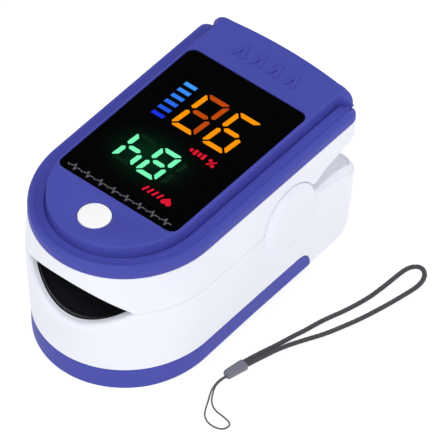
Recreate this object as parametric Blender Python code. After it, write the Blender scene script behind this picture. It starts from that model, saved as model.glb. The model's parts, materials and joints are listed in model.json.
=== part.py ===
"""Fingertip pulse oximeter: a sprung two-jaw clip with a display, and its wrist lanyard.

Sizes are in millimetres and become metres when a mesh is made. X is the width, Z is up, and Y runs
from the rounded finger end (0 here) to the squeeze end, then is centred on the device.
"""
import math

import bmesh
import bpy

MM = 0.001
GAP = 0.3

# Body
LENGTH = 58.0
HALF_WIDTH = 16.3
FRONT_SEMI = 17.4
CORNER = 2.2
WALL = 1.6
FRONT_STEPS = 26
CORNER_STEPS = 4

# Levels, from the underside
SEAM_Z = 17.8
RIM_Z = 26.6
SHELF_Z = 28.9
TOP_Z = 31.0
STRIP_Z = 4.3

# How far the walls stand out past the body's plan at each level, from the underside to the rim
SWELL = ((4.3, 0.0), (9.0, 0.14), (13.5, 0.34), (17.8, 0.45), (20.0, 0.42), (23.0, 0.3), (26.6, 0.15))
RIM_SWELL = 0.15
SIDE_X = HALF_WIDTH + 0.42

# Finger opening
OPENING_HALF = 11.3
ARCH_RISE = 5.1
LIP_DROP = 3.9
OPENING_STEPS = 14

# Hinge
PIVOT_Y = 38.0
PIVOT_Z = 17.6
EAR_RADIUS = 6.6
EAR_FACE_RADIUS = 5.3
EAR_X = 17.75
LUG_INNER_X = 12.4
LUG_OUTER_X = 14.4
SHAFT_RADIUS = 1.0

# Top face
PLATEAU_HALF = 13.1
PLATEAU_FRONT = 2.65
PLATEAU_SEMI = 14.4
REAR_BOW = 0.0058
WING = ((0.0, 50.0), (0.0, 54.6), (0.06, 55.05), (0.25, 55.4), (0.55, 55.6), (0.85, 55.85), (1.0, 56.2),
        (0.95, 56.6))
WINDOW_HALF = 12.45
WINDOW_FRONT = 13.3
WINDOW_REAR = 48.0
WINDOW_THICK = 1.0
BUTTON_Y = 8.3
BUTTON_RADIUS = 2.85

# Boards and pads
BOARD_Z = 25.2
BOARD_THICK = 1.0
PAD_REAR = 29.3
SENSOR_Y = 18.0
PLATE_Z = 12.3
PLATE_THICK = 0.65

# Batteries (two AAA cells)
CELL_RADIUS = 5.25
CELL_X = 5.6
CELL_Z = 6.75
CELL_FRONT = 7.2
CELL_LENGTH = 44.5

# Lanyard
LOOP_DIAMETER = 0.75
STRING_DIAMETER = 0.4


def clear_scene():
    for item in list(bpy.data.objects):
        bpy.data.objects.remove(item, do_unlink=True)


def make_material(name, colour, roughness, metallic=0.0):
    material = bpy.data.materials.new(name)
    material.use_nodes = True
    shader = material.node_tree.nodes["Principled BSDF"]
    shader.inputs["Base Color"].default_value = (*colour, 1.0)
    shader.inputs["Roughness"].default_value = roughness
    shader.inputs["Metallic"].default_value = metallic
    material.diffuse_color = (*colour, 1.0)
    return material


def from_bmesh(mesh_data, name="solid"):
    """Turn an edit mesh in millimetres into an object in metres, with outward faces."""
    bmesh.ops.recalc_face_normals(mesh_data, faces=mesh_data.faces[:])
    for vertex in mesh_data.verts:
        x, y, z = vertex.co
        vertex.co = (x * MM, (y - LENGTH / 2) * MM, z * MM)
    mesh = bpy.data.meshes.new(name)
    mesh_data.to_mesh(mesh)
    mesh_data.free()
    item = bpy.data.objects.new(name, mesh)
    bpy.context.collection.objects.link(item)
    return item


def loft(rings):
    """Join closed rings of equal length in order and cap both ends."""
    mesh_data = bmesh.new()
    rows = [[mesh_data.verts.new(point) for point in ring] for ring in rings]
    count = len(rows[0])
    for lower, upper in zip(rows, rows[1:]):
        for k in range(count):
            following = (k + 1) % count
            mesh_data.faces.new((lower[k], lower[following], upper[following], upper[k]))
    mesh_data.faces.new(rows[0])
    mesh_data.faces.new(rows[-1])
    return from_bmesh(mesh_data)


def prism_z(points, low, high):
    return loft([[(x, y, z) for x, y in points] for z in (low, high)])


def prism_x(points, low, high):
    return loft([[(x, y, z) for y, z in points] for x in (low, high)])


def prism_y(points, low, high):
    return loft([[(x, y, z) for x, z in points] for y in (low, high)])


def box(x, y, z):
    return prism_z([(x[0], y[0]), (x[1], y[0]), (x[1], y[1]), (x[0], y[1])], *z)


def turned_z(centre, profile, steps=28):
    """Stack circles of (radius, z) about a vertical axis."""
    rings = []
    for radius, z in profile:
        rings.append(circle(centre, radius, steps, z))
    return loft(rings)


def circle(centre, radius, steps, z):
    ring = []
    for k in range(steps):
        angle = 2 * math.pi * k / steps
        ring.append((centre[0] + radius * math.cos(angle), centre[1] + radius * math.sin(angle), z))
    return ring


def turned_x(centre, profile, steps=40):
    """Stack circles of (radius, x) about an axis along X through centre (y, z)."""
    rings = []
    for radius, x in profile:
        ring = []
        for k in range(steps):
            angle = 2 * math.pi * (k + 0.5) / steps
            ring.append((x, centre[0] + radius * math.cos(angle), centre[1] + radius * math.sin(angle)))
        rings.append(ring)
    return loft(rings)


def turned_y(centre, profile, steps=20):
    """Stack circles of (radius, y) about an axis along Y through centre (x, z)."""
    rings = []
    for radius, y in profile:
        ring = []
        for k in range(steps):
            angle = 2 * math.pi * k / steps
            ring.append((centre[0] + radius * math.cos(angle), y, centre[1] + radius * math.sin(angle)))
        rings.append(ring)
    return loft(rings)


def combine(target, tool, operation):
    """Apply an exact Boolean to target and drop the tool."""
    modifier = target.modifiers.new("combine", "BOOLEAN")
    modifier.operation = operation
    modifier.solver = "EXACT"
    modifier.object = tool
    graph = bpy.context.evaluated_depsgraph_get()
    graph.update()
    result = bpy.data.meshes.new_from_object(target.evaluated_get(graph))
    target.modifiers.clear()
    target.data = result
    bpy.data.objects.remove(tool, do_unlink=True)
    return target


def cut(target, *tools):
    for tool in tools:
        combine(target, tool, "DIFFERENCE")
    return target


def join(target, *tools):
    for tool in tools:
        combine(target, tool, "UNION")
    return target


def keep(target, tool):
    return combine(target, tool, "INTERSECT")


def place(item, name, material, origin=(0.0, 0.0, 0.0)):
    """Name an object, give it its material and put its origin at a point in millimetres."""
    x, y, z = origin[0] * MM, origin[1] * MM, origin[2] * MM
    if item.type == "MESH":
        for vertex in item.data.vertices:
            vertex.co.x -= x
            vertex.co.y -= y
            vertex.co.z -= z
        item.location = (x, y, z)
    item.name = name
    item.data.name = name
    item.data.materials.clear()
    item.data.materials.append(material)
    return item


def tube(points, diameter, resolution):
    """A round cord or wire through points in millimetres."""
    curve = bpy.data.curves.new("tube", "CURVE")
    curve.dimensions = "3D"
    curve.bevel_depth = diameter / 2 * MM
    curve.bevel_resolution = resolution
    curve.use_fill_caps = True
    spline = curve.splines.new("POLY")
    spline.points.add(len(points) - 1)
    for point, (x, y, z) in zip(spline.points, points):
        point.co = (x * MM, (y - LENGTH / 2) * MM, z * MM, 1.0)
    item = bpy.data.objects.new("tube", curve)
    bpy.context.collection.objects.link(item)
    return item


def smooth_path(route, step):
    """Points at an even step along a Catmull-Rom curve through the route."""
    dense = []
    padded = [route[0]] + list(route) + [route[-1]]
    for a, b, c, d in zip(padded, padded[1:], padded[2:], padded[3:]):
        for k in range(24):
            t = k / 24
            dense.append(tuple(catmull_rom(p, q, r, s, t) for p, q, r, s in zip(a, b, c, d)))
    dense.append(tuple(route[-1]))
    travelled = [0.0]
    for first, second in zip(dense, dense[1:]):
        travelled.append(travelled[-1] + math.dist(first, second))
    count = max(2, round(travelled[-1] / step))
    points = []
    index = 0
    for k in range(count + 1):
        goal = travelled[-1] * k / count
        while index < len(travelled) - 2 and travelled[index + 1] < goal:
            index += 1
        span = travelled[index + 1] - travelled[index]
        share = (goal - travelled[index]) / span
        points.append(tuple(u + (v - u) * share for u, v in zip(dense[index], dense[index + 1])))
    return points


def catmull_rom(p, q, r, s, t):
    linear = r - p
    square = 2 * p - 5 * q + 4 * r - s
    cube = 3 * q - p - 3 * r + s
    return 0.5 * (2 * q + linear * t + square * t * t + cube * t ** 3)


def outline(half, front, rear, semi, corner):
    """Plan of the body: an elliptic front, straight sides and a rear with rounded corners."""
    points = []
    for side, start in ((1, 0), (-1, 90)):
        for k in range(CORNER_STEPS + 1):
            angle = math.radians(start + 90 * k / CORNER_STEPS)
            x = side * (half - corner) + corner * math.cos(angle)
            points.append((x, rear - corner + corner * math.sin(angle)))
    for k in range(FRONT_STEPS + 1):
        angle = math.pi + math.pi * k / FRONT_STEPS
        points.append((half * math.cos(angle), front + semi + semi * math.sin(angle)))
    return points


def body_outline(inset, rear):
    corner = max(CORNER - inset, 0.5)
    return outline(HALF_WIDTH - inset, inset, rear, FRONT_SEMI - inset, corner)


def swell(z):
    """How far the wall stands out at this level."""
    for (low, first), (high, second) in zip(SWELL, SWELL[1:]):
        if low <= z <= high:
            return first + (second - first) * (z - low) / (high - low)
    return 0.0


def swollen_outline(z, rear):
    """Plan of the outer wall at this level."""
    return [(x, y, z) for x, y in body_outline(-swell(z), rear + swell(z))]


def rounded_rectangle(x, y, radius, steps=4):
    points = []
    for sx, sy, start in ((1, 1, 0), (-1, 1, 90), (-1, -1, 180), (1, -1, 270)):
        centre_x = (x[1] if sx > 0 else x[0]) - sx * radius
        centre_y = (y[1] if sy > 0 else y[0]) - sy * radius
        for k in range(steps + 1):
            angle = math.radians(start + 90 * k / steps)
            points.append((centre_x + radius * math.cos(angle), centre_y + radius * math.sin(angle)))
    return points


def arch(half, base, rise, steps=OPENING_STEPS):
    """Parabola from (half, base) to (-half, base) with its peak rise above the base."""
    points = []
    for k in range(steps + 1):
        x = half - 2 * half * k / steps
        points.append((x, base + rise * (1 - (x / half) ** 2)))
    return points


# ---- upper jaw -----------------------------------------------------------------------------------

def upper_shell():
    shell = loft([swollen_outline(z, 56.3) for z in (SEAM_Z + 0.15, 20.0, 23.0, RIM_Z - GAP)])
    rear_edge = [(43.6, 19.1), (45.2, 19.7), (47.7, 20.7), (51.0, 21.4), (53.0, 21.8), (54.9, 22.7),
                 (55.9, 23.7), (60.0, 25.4)]
    cut(shell, prism_x([(43.6, 10.0)] + rear_edge + [(60.0, 10.0)], -20.0, 20.0))
    finger_side = prism_z(body_outline(WALL, 54.7), 10.0, 30.0)
    keep(finger_side, prism_x([(-3.0, 12.0), (-3.0, 23.6), (38.0, 23.6), (42.2, 20.2), (43.7, 19.0),
                               (44.5, 12.0)], -20.0, 20.0))
    board_side = prism_z(body_outline(WALL, 54.7), 10.0, 30.0)
    keep(board_side, prism_x([(-3.0, 24.4), (38.4, 24.4), (43.4, 20.7), (47.7, 22.3), (48.1, 24.2),
                              (56.0, 24.3), (56.0, 29.0), (-3.0, 29.0)], -20.0, 20.0))
    cut(shell, finger_side, board_side)
    mouth = [(OPENING_HALF, 10.0)] + arch(OPENING_HALF, SEAM_Z + 0.1, ARCH_RISE) + [(-OPENING_HALF, 10.0)]
    cut(shell, prism_y(mouth, -2.0, 9.0))
    for side in (1, -1):
        cut(shell, turned_x((PIVOT_Y, PIVOT_Z), [(EAR_RADIUS + GAP, side * 14.2),
                                                 (EAR_RADIUS + GAP, side * 20.0)]))
    for side in (1, -1):
        join(shell, hinge_lug(side))
    for side in (1, -1):
        cut(shell, turned_z((side * 9.5, 50.6), [(1.9, 18.0), (1.9, 22.9)], 20),
            turned_z((side * 9.5, 50.6), [(1.0, 22.0), (1.0, 26.0)], 20))
    cut(shell, box((-2.9, 2.9), (30.4, 34.4), (23.0, 25.0)))
    cut(shell, box((-3.0, 3.0), (14.6, 21.4), (23.0, 25.0)))
    for x, y in ((11.0, 12.5), (-11.0, 12.5), (12.3, 36.0), (-12.3, 36.0)):
        join(shell, turned_z((x, y), [(1.2, 24.1), (1.2, 24.9)], 12))
    return shell


def hinge_lug(side):
    """Plate inside the side wall: it closes the gap round the ear and carries the shaft."""
    radius_top = EAR_RADIUS + 1.0
    points = []
    for k in range(13):
        angle = math.radians(16 + 151 * k / 12)
        points.append((PIVOT_Y + radius_top * math.cos(angle), PIVOT_Z + radius_top * math.sin(angle)))
    for k in range(11):
        angle = math.radians(195 + 150 * k / 10)
        points.append((PIVOT_Y + 4.5 * math.cos(angle), PIVOT_Z + 4.5 * math.sin(angle)))
    plate = prism_x(points, side * LUG_INNER_X, side * (LUG_OUTER_X + 0.45))
    ring = turned_x((PIVOT_Y, PIVOT_Z), [(EAR_RADIUS + GAP + 0.06, side * LUG_OUTER_X),
                                         (EAR_RADIUS + GAP + 0.06, side * 16.0)], 36)
    bore = turned_x((PIVOT_Y, PIVOT_Z), [(SHAFT_RADIUS + GAP, side * 11.0),
                                         (SHAFT_RADIUS + GAP, side * 16.0)], 24)
    return cut(plate, ring, bore)


def plateau_outline(inset, flare):
    """Raised top: elliptic front, straight sides that end in wings, and a bowed rear edge."""
    half = PLATEAU_HALF - inset
    side = [(half + share * flare, y) for share, y in WING]
    rear = []
    for k in range(9):
        x = (half + 0.6 * flare - 0.5) * (1 - k / 4)
        rear.append((x, LENGTH - inset - REAR_BOW * x * x))
    mirrored = [(-x, y) for x, y in reversed(side)]
    front = []
    for k in range(FRONT_STEPS + 1):
        angle = math.pi + math.pi * k / FRONT_STEPS
        depth = PLATEAU_SEMI - inset
        front.append((half * math.cos(angle), PLATEAU_FRONT + inset + depth + depth * math.sin(angle)))
    return side + rear + mirrored + front


def top_cover():
    rim_rings = []
    for inset, z in ((0.0, RIM_Z), (0.0, 27.7), (0.15, 28.3), (0.5, 28.72), (1.1, SHELF_Z)):
        rear = 56.85 - 1.5 * inset
        rim_rings.append([(x, y, z) for x, y in body_outline(inset - RIM_SWELL, rear)])
    cover = loft(rim_rings)
    plateau_rings = []
    for inset, flare, z in ((0.0, 1.35, 27.95), (0.0, 1.3, 28.8), (0.01, 1.05, 29.5), (0.02, 0.8, 30.0),
                            (0.04, 0.5, 30.5), (0.1, 0.3, 30.75), (0.4, 0.15, TOP_Z)):
        plateau_rings.append([(x, y, z) for x, y in plateau_outline(inset, flare)])
    join(cover, loft(plateau_rings))
    cut(cover, prism_z(body_outline(1.5, 55.0), 25.0, 27.6))
    cut(cover, prism_z(rounded_rectangle((-11.0, 11.0), (14.6, 46.7), 0.8, 2), 26.0, 30.4))
    pocket = rounded_rectangle((-WINDOW_HALF - 0.15, WINDOW_HALF + 0.15),
                               (WINDOW_FRONT - 0.15, WINDOW_REAR + 0.15), 1.6)
    cut(cover, prism_z(pocket, 29.8, 33.0))
    well = turned_z((0.0, BUTTON_Y), [(4.15, 26.5), (4.15, 29.6)], 28)
    hole = turned_z((0.0, BUTTON_Y), [(BUTTON_RADIUS + 0.2, 29.0), (BUTTON_RADIUS + 0.2, 33.0)], 32)
    cut(cover, well, hole)
    for side in (1, -1):
        join(cover, turned_z((side * 9.5, 50.6), [(2.2, 24.9), (2.2, 28.0)], 20))
        cut(cover, turned_z((side * 9.5, 50.6), [(0.95, 24.0), (0.95, 27.4)], 16))
    for k in range(4):
        join(cover, squeeze_mark(-5.4 + 3.6 * k))
    return cover


def squeeze_mark(x):
    """One raised chevron of the squeeze mark, pointing at the rear edge."""
    points = [(-1.2, 51.2), (-0.55, 51.2), (0.0, 53.1), (0.55, 51.2), (1.2, 51.2), (0.32, 54.3),
              (-0.32, 54.3)]
    return prism_z([(x + u, v) for u, v in points], TOP_Z - 0.5, TOP_Z + 0.22)


def display_window():
    shape = rounded_rectangle((-WINDOW_HALF, WINDOW_HALF), (WINDOW_FRONT, WINDOW_REAR), 1.5)
    inner = rounded_rectangle((-WINDOW_HALF + 0.12, WINDOW_HALF - 0.12),
                              (WINDOW_FRONT + 0.12, WINDOW_REAR - 0.12), 1.38)
    levels = ((shape, TOP_Z - WINDOW_THICK), (shape, TOP_Z - 0.15), (inner, TOP_Z - 0.03))
    return loft([[(x, y, z) for x, y in points] for points, z in levels])


def display_module():
    return box((-10.6, 10.6), (15.0, 46.3), (26.5, 29.5))


def power_button():
    profile = [(3.8, 28.5), (3.8, 29.2), (BUTTON_RADIUS, 29.2), (BUTTON_RADIUS, 31.0),
               (BUTTON_RADIUS - 0.18, 31.18)]
    return turned_z((0.0, BUTTON_Y), profile, 32)


def switch_body():
    body = box((-2.3, 2.3), (BUTTON_Y - 2.3, BUTTON_Y + 2.3), (26.5, 27.6))
    return cut(body, turned_z((0.0, BUTTON_Y), [(1.25, 26.75), (1.25, 28.5)], 20))


def switch_plunger():
    return turned_z((0.0, BUTTON_Y), [(0.95, 27.25), (0.95, 28.1), (0.8, 28.2)], 20)


def main_board():
    return prism_z(outline(13.6, 3.6, 46.2, 14.9, 1.0), BOARD_Z, BOARD_Z + BOARD_THICK)


def controller_chip():
    return box((-3.5, 3.5), (12.2, 14.0), (26.5, 27.3))


def finger_pad(base, edge, valley, sign):
    """Rubber pad: a block with a finger groove and a stop wall at its rear end."""
    half = HALF_WIDTH - WALL - 0.35
    pad = prism_z(outline(half, WALL + 0.35, PAD_REAR, FRONT_SEMI - WALL - 0.35, 1.0),
                  min(base, edge), max(base, edge))
    groove = [(11.0, edge + sign * 3.0)] + arch(11.0, edge, valley - edge) + [(-11.0, edge + sign * 3.0)]
    cut(pad, prism_y(groove, -2.0, PAD_REAR - 2.0))
    window = 2.6
    cut(pad, box((-window, window), (SENSOR_Y - window, SENSOR_Y + window),
                 (min(base, valley) - 1.0, max(base, valley) + 1.0)))
    return pad


def emitter_board():
    return box((-2.7, 2.7), (14.9, 21.1), (23.55, 24.15))


def led_emitter():
    return turned_z((0.0, SENSOR_Y), [(1.9, 23.25), (1.9, 22.6), (1.5, 22.2)], 24)


def case_screw(side):
    centre = (side * 9.5, 50.6)
    profile = [(1.5, 21.9), (1.5, 22.55), (0.7, 22.6), (0.7, 26.6), (0.3, 27.0)]
    screw = turned_z(centre, profile, 16)
    slot = box((centre[0] - 1.0, centre[0] + 1.0), (centre[1] - 0.2, centre[1] + 0.2), (21.0, 22.2))
    return cut(screw, slot)


# ---- lower jaw -----------------------------------------------------------------------------------

def lower_body():
    """Outer form of the lower jaw and its battery cover, from the underside to the seam."""
    sections = ((0.0, 0.9, 51.2), (0.25, 0.5, 52.8), (0.9, 0.3, 54.2), (2.2, 0.24, 55.2),
                (4.45, 0.2, 55.7))
    rings = []
    for z, step, rear in sections:
        rings.append([(x, y, z) for x, y in body_outline(step, rear)])
    for z in (9.0, 13.5, SEAM_Z - 0.15):
        rings.append(swollen_outline(z, 56.0))
    return loft(rings)


def cover_profile(top, rear):
    """Side view of the battery cover, with its rounded rear end."""
    radius = 2.4
    points = [(-5.0, -5.0), (-5.0, top)]
    for k in range(7):
        angle = math.radians(90 - 90 * k / 6)
        points.append((rear - radius + radius * math.cos(angle), top - radius + radius * math.sin(angle)))
    points.append((rear, -5.0))
    return points


def lower_shell():
    shell = lower_body()
    roof = [(44.0, 17.4), (51.0, 17.2), (53.5, 16.8), (55.4, 15.9), (60.0, 14.4)]
    cut(shell, prism_x(roof + [(60.0, 25.0), (44.0, 25.0)], -20.0, 20.0))
    for side in (1, -1):
        cut(shell, roof_bevel(side))
    inside = prism_z(body_outline(WALL, 54.4), -5.0, 25.0)
    keep(inside, prism_x([(-5.0, -5.0), (-5.0, 22.0), (46.4, 22.0), (46.4, 16.0), (51.0, 15.9),
                          (53.4, 15.5), (54.4, 15.0), (54.4, 5.0), (53.6, 2.6), (52.4, 1.6),
                          (43.0, 1.5), (43.0, -5.0)], -20.0, 20.0))
    cut(shell, inside)
    cut(shell, prism_x(cover_profile(STRIP_Z + GAP, 44.5 + GAP), -20.0, 20.0))
    cut(shell, box((-11.6, 11.6), (40.0, 52.1), (-1.0, 1.9)))
    mouth = [(OPENING_HALF, 25.0)] + arch(OPENING_HALF, SEAM_Z - 0.1, -LIP_DROP) + [(-OPENING_HALF, 25.0)]
    cut(shell, prism_y(mouth, -2.0, 9.0))
    for side in (1, -1):
        join(shell, turned_x((PIVOT_Y, PIVOT_Z), [(EAR_RADIUS, side * (HALF_WIDTH - WALL + 0.06)),
                                                  (EAR_RADIUS, side * 16.7),
                                                  (EAR_FACE_RADIUS + 0.35, side * (EAR_X - 0.35)),
                                                  (EAR_FACE_RADIUS, side * EAR_X)]))
        cut(shell, turned_x((PIVOT_Y, PIVOT_Z), [(SHAFT_RADIUS + GAP, side * 14.0),
                                                 (SHAFT_RADIUS + GAP, side * 16.6)], 24))
    return shell


def roof_bevel(side):
    """Cutter for the sloped long edges of the squeeze end."""
    rings = []
    for y, z, size in ((44.0, 17.4, 0.6), (51.0, 17.2, 1.1), (58.0, 15.0, 1.5)):
        inner = SIDE_X - size
        rings.append([(side * inner, y, z + 0.02), (side * 18.0, y, z + 0.5),
                      (side * 18.0, y, z - size - 18.0 + SIDE_X)])
    return loft(rings)


def battery_cover():
    cover = lower_body()
    keep(cover, prism_x(cover_profile(STRIP_Z, 44.5), -20.0, 20.0))
    cut(cover, prism_z(outline(14.6, 1.75, 60.0, 15.7, 0.5), 1.2, 8.0))
    tongue = box((-11.3, 11.3), (43.0, 51.8), (0.001, 1.201))
    return join(cover, tongue)


def inner_frame():
    half = HALF_WIDTH - WALL - 0.35
    plate = prism_z(outline(half, WALL + 0.35, 53.3, FRONT_SEMI - WALL - 0.35, 1.0), PLATE_Z,
                    PLATE_Z + PLATE_THICK)
    for side in (1, -1):
        ends = sorted((side * 12.0, side * 17.0))
        cut(plate, box(ends, (PAD_REAR, 60.0), (10.0, 15.0)))
    cut(plate, box((-3.4, 3.4), (14.4, 21.6), (10.0, 15.0)))
    for side in (1, -1):
        ends = sorted((side * 11.1, side * 11.7))
        join(plate, box(ends, (8.4, 52.2), (1.8, PLATE_Z + 0.2)))
    join(plate, box((-11.4, 11.4), (52.65, 53.2), (3.3, PLATE_Z + 0.2)))
    join(plate, box((-6.6, 6.6), (3.9, 4.5), (1.9, PLATE_Z + 0.2)))
    return plate


def sensor_board():
    return box((-3.1, 3.1), (14.7, 21.3), (12.35, 12.85))


def photodiode():
    return box((-2.2, 2.2), (SENSOR_Y - 2.2, SENSOR_Y + 2.2), (13.05, 13.55))


def battery_cell(side):
    """AAA cell; the two cells face opposite ways."""
    rear = CELL_FRONT + CELL_LENGTH
    base, tip, sign = (rear, CELL_FRONT, -1) if side > 0 else (CELL_FRONT, rear, 1)
    profile = [(4.6, base), (CELL_RADIUS, base + sign * 0.4), (CELL_RADIUS, tip - sign * 1.2),
               (4.7, tip - sign * 0.8), (1.9, tip - sign * 0.8), (1.9, tip)]
    return turned_y((side * CELL_X, CELL_Z), profile, 28)


def coil(centre, start, end, radius_start, radius_end, turns):
    points = []
    steps = round(turns * 10)
    for k in range(steps + 1):
        share = k / steps
        angle = 2 * math.pi * turns * share
        radius = radius_start + (radius_end - radius_start) * share
        y = start + (end - start) * share
        points.append((centre[0] + radius * math.cos(angle), y, centre[1] + radius * math.sin(angle)))
    return points


def torsion_path(side):
    """Spring wire: a leg on the lower frame, three and a half turns, a leg under the upper shell."""
    radius = 2.1
    first_x = 7.6
    points = [(side * first_x, 45.0, 13.7), (side * first_x, 41.5, 14.6)]
    steps = 35
    for k in range(steps + 1):
        angle = math.radians(-90 - 360 * 3.5 * k / steps)
        x = first_x + 0.95 * 3.5 * k / steps
        points.append((side * x, PIVOT_Y + radius * math.cos(angle), PIVOT_Z + radius * math.sin(angle)))
    points.append((side * (first_x + 3.4), 41.0, 20.15))
    return points


def ribbon():
    """Flat cable from the sensor board up to the main board, in front of the shaft."""
    centre = [(30.4, 13.4), (31.9, 13.45), (32.9, 14.1), (33.3, 15.3), (33.2, 18.0), (32.9, 21.0),
              (32.8, 24.7)]
    thick = 0.13
    left = []
    right = []
    for k, (y, z) in enumerate(centre):
        before = centre[max(k - 1, 0)]
        after = centre[min(k + 1, len(centre) - 1)]
        length = math.dist(before, after)
        normal = ((before[1] - after[1]) / length, (after[0] - before[0]) / length)
        left.append((y + thick * normal[0], z + thick * normal[1]))
        right.append((y - thick * normal[0], z - thick * normal[1]))
    return prism_x(left + right[::-1], -2.4, 2.4)


# ---- lanyard -------------------------------------------------------------------------------------

def wrist_loop_route():
    z = LOOP_DIAMETER / 2 + 0.02
    outward = [(21.5, 20.75), (21.93, 22.5), (22.45, 24.35), (23.02, 26.25), (23.58, 28.3), (24.12, 30.45),
               (24.74, 32.6), (25.66, 36.3), (27.11, 40.66), (28.15, 45.0), (28.55, 49.0), (28.7, 52.0),
               (28.9, 53.97)]
    bend = [(29.45, 55.3), (30.45, 56.0), (31.6, 55.65), (32.5, 54.4)]
    back = [(32.8, 52.4), (32.3, 49.2), (31.4, 45.1), (30.33, 41.1), (29.06, 37.4), (27.65, 33.9),
            (26.0, 30.75), (24.68, 28.05), (23.88, 26.0), (23.25, 23.9), (22.73, 22.1), (22.3, 20.6)]
    return [(x, y, z) for x, y in outward + bend + back]


def string_loop_route():
    z = STRING_DIAMETER / 2 + 0.02
    outward = [(20.98, 15.7), (20.9, 14.65), (21.08, 13.45), (21.38, 12.43), (21.8, 11.5), (22.42, 10.35),
               (23.11, 8.97), (23.88, 7.7), (25.03, 6.84), (26.4, 6.55), (27.74, 6.82)]
    bend = [(28.45, 7.5), (28.53, 8.43)]
    back = [(27.97, 9.11), (26.63, 9.52), (25.04, 9.72), (23.75, 10.3), (22.85, 11.15), (22.25, 12.1),
            (21.77, 13.1), (21.52, 13.9), (21.42, 14.8), (21.44, 15.7)]
    return [(x, y, z) for x, y in outward + bend + back]


def lanyard_sleeve():
    """Tapered crimp that joins the string loop to the wrist loop."""
    direction = (0.22, 0.9755)
    start = (21.25, 16.25)
    rings = []
    for along, half, low, high in ((0.0, 0.75, 0.15, 1.1), (0.35, 0.95, 0.02, 1.35),
                                   (3.5, 1.2, 0.02, 1.6), (3.95, 1.1, 0.1, 1.5)):
        x = start[0] + direction[0] * along
        y = start[1] + direction[1] * along
        across = (direction[1], -direction[0])
        ring = []
        for u, v in ((1.0, 0.25), (1.0, 0.75), (0.7, 1.0), (-0.7, 1.0), (-1.0, 0.75), (-1.0, 0.25),
                     (-0.7, 0.0), (0.7, 0.0)):
            ring.append((x + across[0] * half * u, y + across[1] * half * u, low + (high - low) * v))
        rings.append(ring)
    return loft(rings)


# ---- assembly ------------------------------------------------------------------------------------

def build_upper_jaw(materials):
    pivot = (0.0, PIVOT_Y - LENGTH / 2, PIVOT_Z)
    press = (0.0, BUTTON_Y - LENGTH / 2, 28.5)
    place(upper_shell(), "upper_shell", materials["white"], pivot)
    place(top_cover(), "top_cover", materials["blue"], pivot)
    place(display_window(), "display_window", materials["window"], pivot)
    place(display_module(), "display_module", materials["display"], pivot)
    place(power_button(), "power_button", materials["button"], press)
    place(switch_body(), "switch_body", materials["metal"], pivot)
    place(switch_plunger(), "switch_plunger", materials["black"], press)
    place(main_board(), "main_board", materials["board"], pivot)
    place(controller_chip(), "controller_chip", materials["black"], pivot)
    place(finger_pad(23.3, SEAM_Z + 0.55, 21.9, -1), "upper_pad", materials["rubber"], pivot)
    place(emitter_board(), "emitter_board", materials["board"], pivot)
    place(led_emitter(), "led_emitter", materials["lens"], pivot)
    place(case_screw(1), "case_screw_right", materials["steel"], pivot)
    place(case_screw(-1), "case_screw_left", materials["steel"], pivot)


def build_lower_jaw(materials):
    place(lower_shell(), "lower_shell", materials["white"])
    place(inner_frame(), "inner_frame", materials["white"])
    place(finger_pad(13.25, SEAM_Z - 0.45, 13.8, 1), "lower_pad", materials["rubber"])
    place(sensor_board(), "sensor_board", materials["board"])
    place(photodiode(), "photodiode", materials["lens"])
    place(battery_cell(1), "battery_right", materials["cell"])
    place(battery_cell(-1), "battery_left", materials["cell"])
    place(battery_cover(), "battery_cover", materials["blue"])
    shaft = turned_x((PIVOT_Y, PIVOT_Z), [(SHAFT_RADIUS, -16.3), (SHAFT_RADIUS, 16.3)], 24)
    place(shaft, "hinge_shaft", materials["steel"])
    place(tube(torsion_path(1), 0.7, 1), "torsion_spring_right", materials["steel"])
    place(tube(torsion_path(-1), 0.7, 1), "torsion_spring_left", materials["steel"])
    place(ribbon(), "ribbon_cable", materials["amber"])
    front_spring = coil((-CELL_X, CELL_Z), 5.35, 6.8, 2.9, 1.9, 2.5)
    place(tube(front_spring, 0.5, 1), "contact_spring_front", materials["steel"])
    place(box((2.6, 8.6), (5.9, 6.3), (3.8, 9.8)), "contact_plate_front", materials["steel"])
    place(box((-9.6, 9.6), (52.0, 52.35), (3.6, 9.9)), "contact_bridge_rear", materials["steel"])


def build_lanyard(materials):
    loop = smooth_path(wrist_loop_route(), 1.7)
    string = smooth_path(string_loop_route(), 1.0)
    place(tube(loop, LOOP_DIAMETER, 2), "lanyard_wrist_loop", materials["cord"])
    place(tube(string, STRING_DIAMETER, 2), "lanyard_string_loop", materials["cord"])
    place(lanyard_sleeve(), "lanyard_sleeve", materials["sleeve"])


def build_materials():
    return {
        "white": make_material("white_abs", (0.88, 0.89, 0.93), 0.35),
        "blue": make_material("blue_abs", (0.07, 0.08, 0.42), 0.42),
        "window": make_material("dark_acrylic", (0.004, 0.004, 0.006), 0.06),
        "display": make_material("display_epoxy", (0.03, 0.03, 0.035), 0.5),
        "button": make_material("button_abs", (0.93, 0.93, 0.95), 0.35),
        "board": make_material("circuit_board", (0.03, 0.2, 0.08), 0.5),
        "black": make_material("black_resin", (0.02, 0.02, 0.02), 0.5),
        "rubber": make_material("pad_rubber", (0.02, 0.022, 0.03), 0.6),
        "lens": make_material("clear_resin", (0.75, 0.75, 0.72), 0.15),
        "cell": make_material("cell_jacket", (0.12, 0.3, 0.5), 0.4),
        "metal": make_material("nickel_plate", (0.6, 0.6, 0.6), 0.3, 1.0),
        "steel": make_material("spring_steel", (0.5, 0.5, 0.52), 0.35, 1.0),
        "amber": make_material("polyimide_film", (0.5, 0.25, 0.05), 0.4),
        "cord": make_material("woven_cord", (0.06, 0.055, 0.065), 0.8),
        "sleeve": make_material("sleeve_rubber", (0.13, 0.13, 0.17), 0.6),
    }


def main():
    clear_scene()
    materials = build_materials()
    build_lower_jaw(materials)
    build_upper_jaw(materials)
    build_lanyard(materials)


main()
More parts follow.
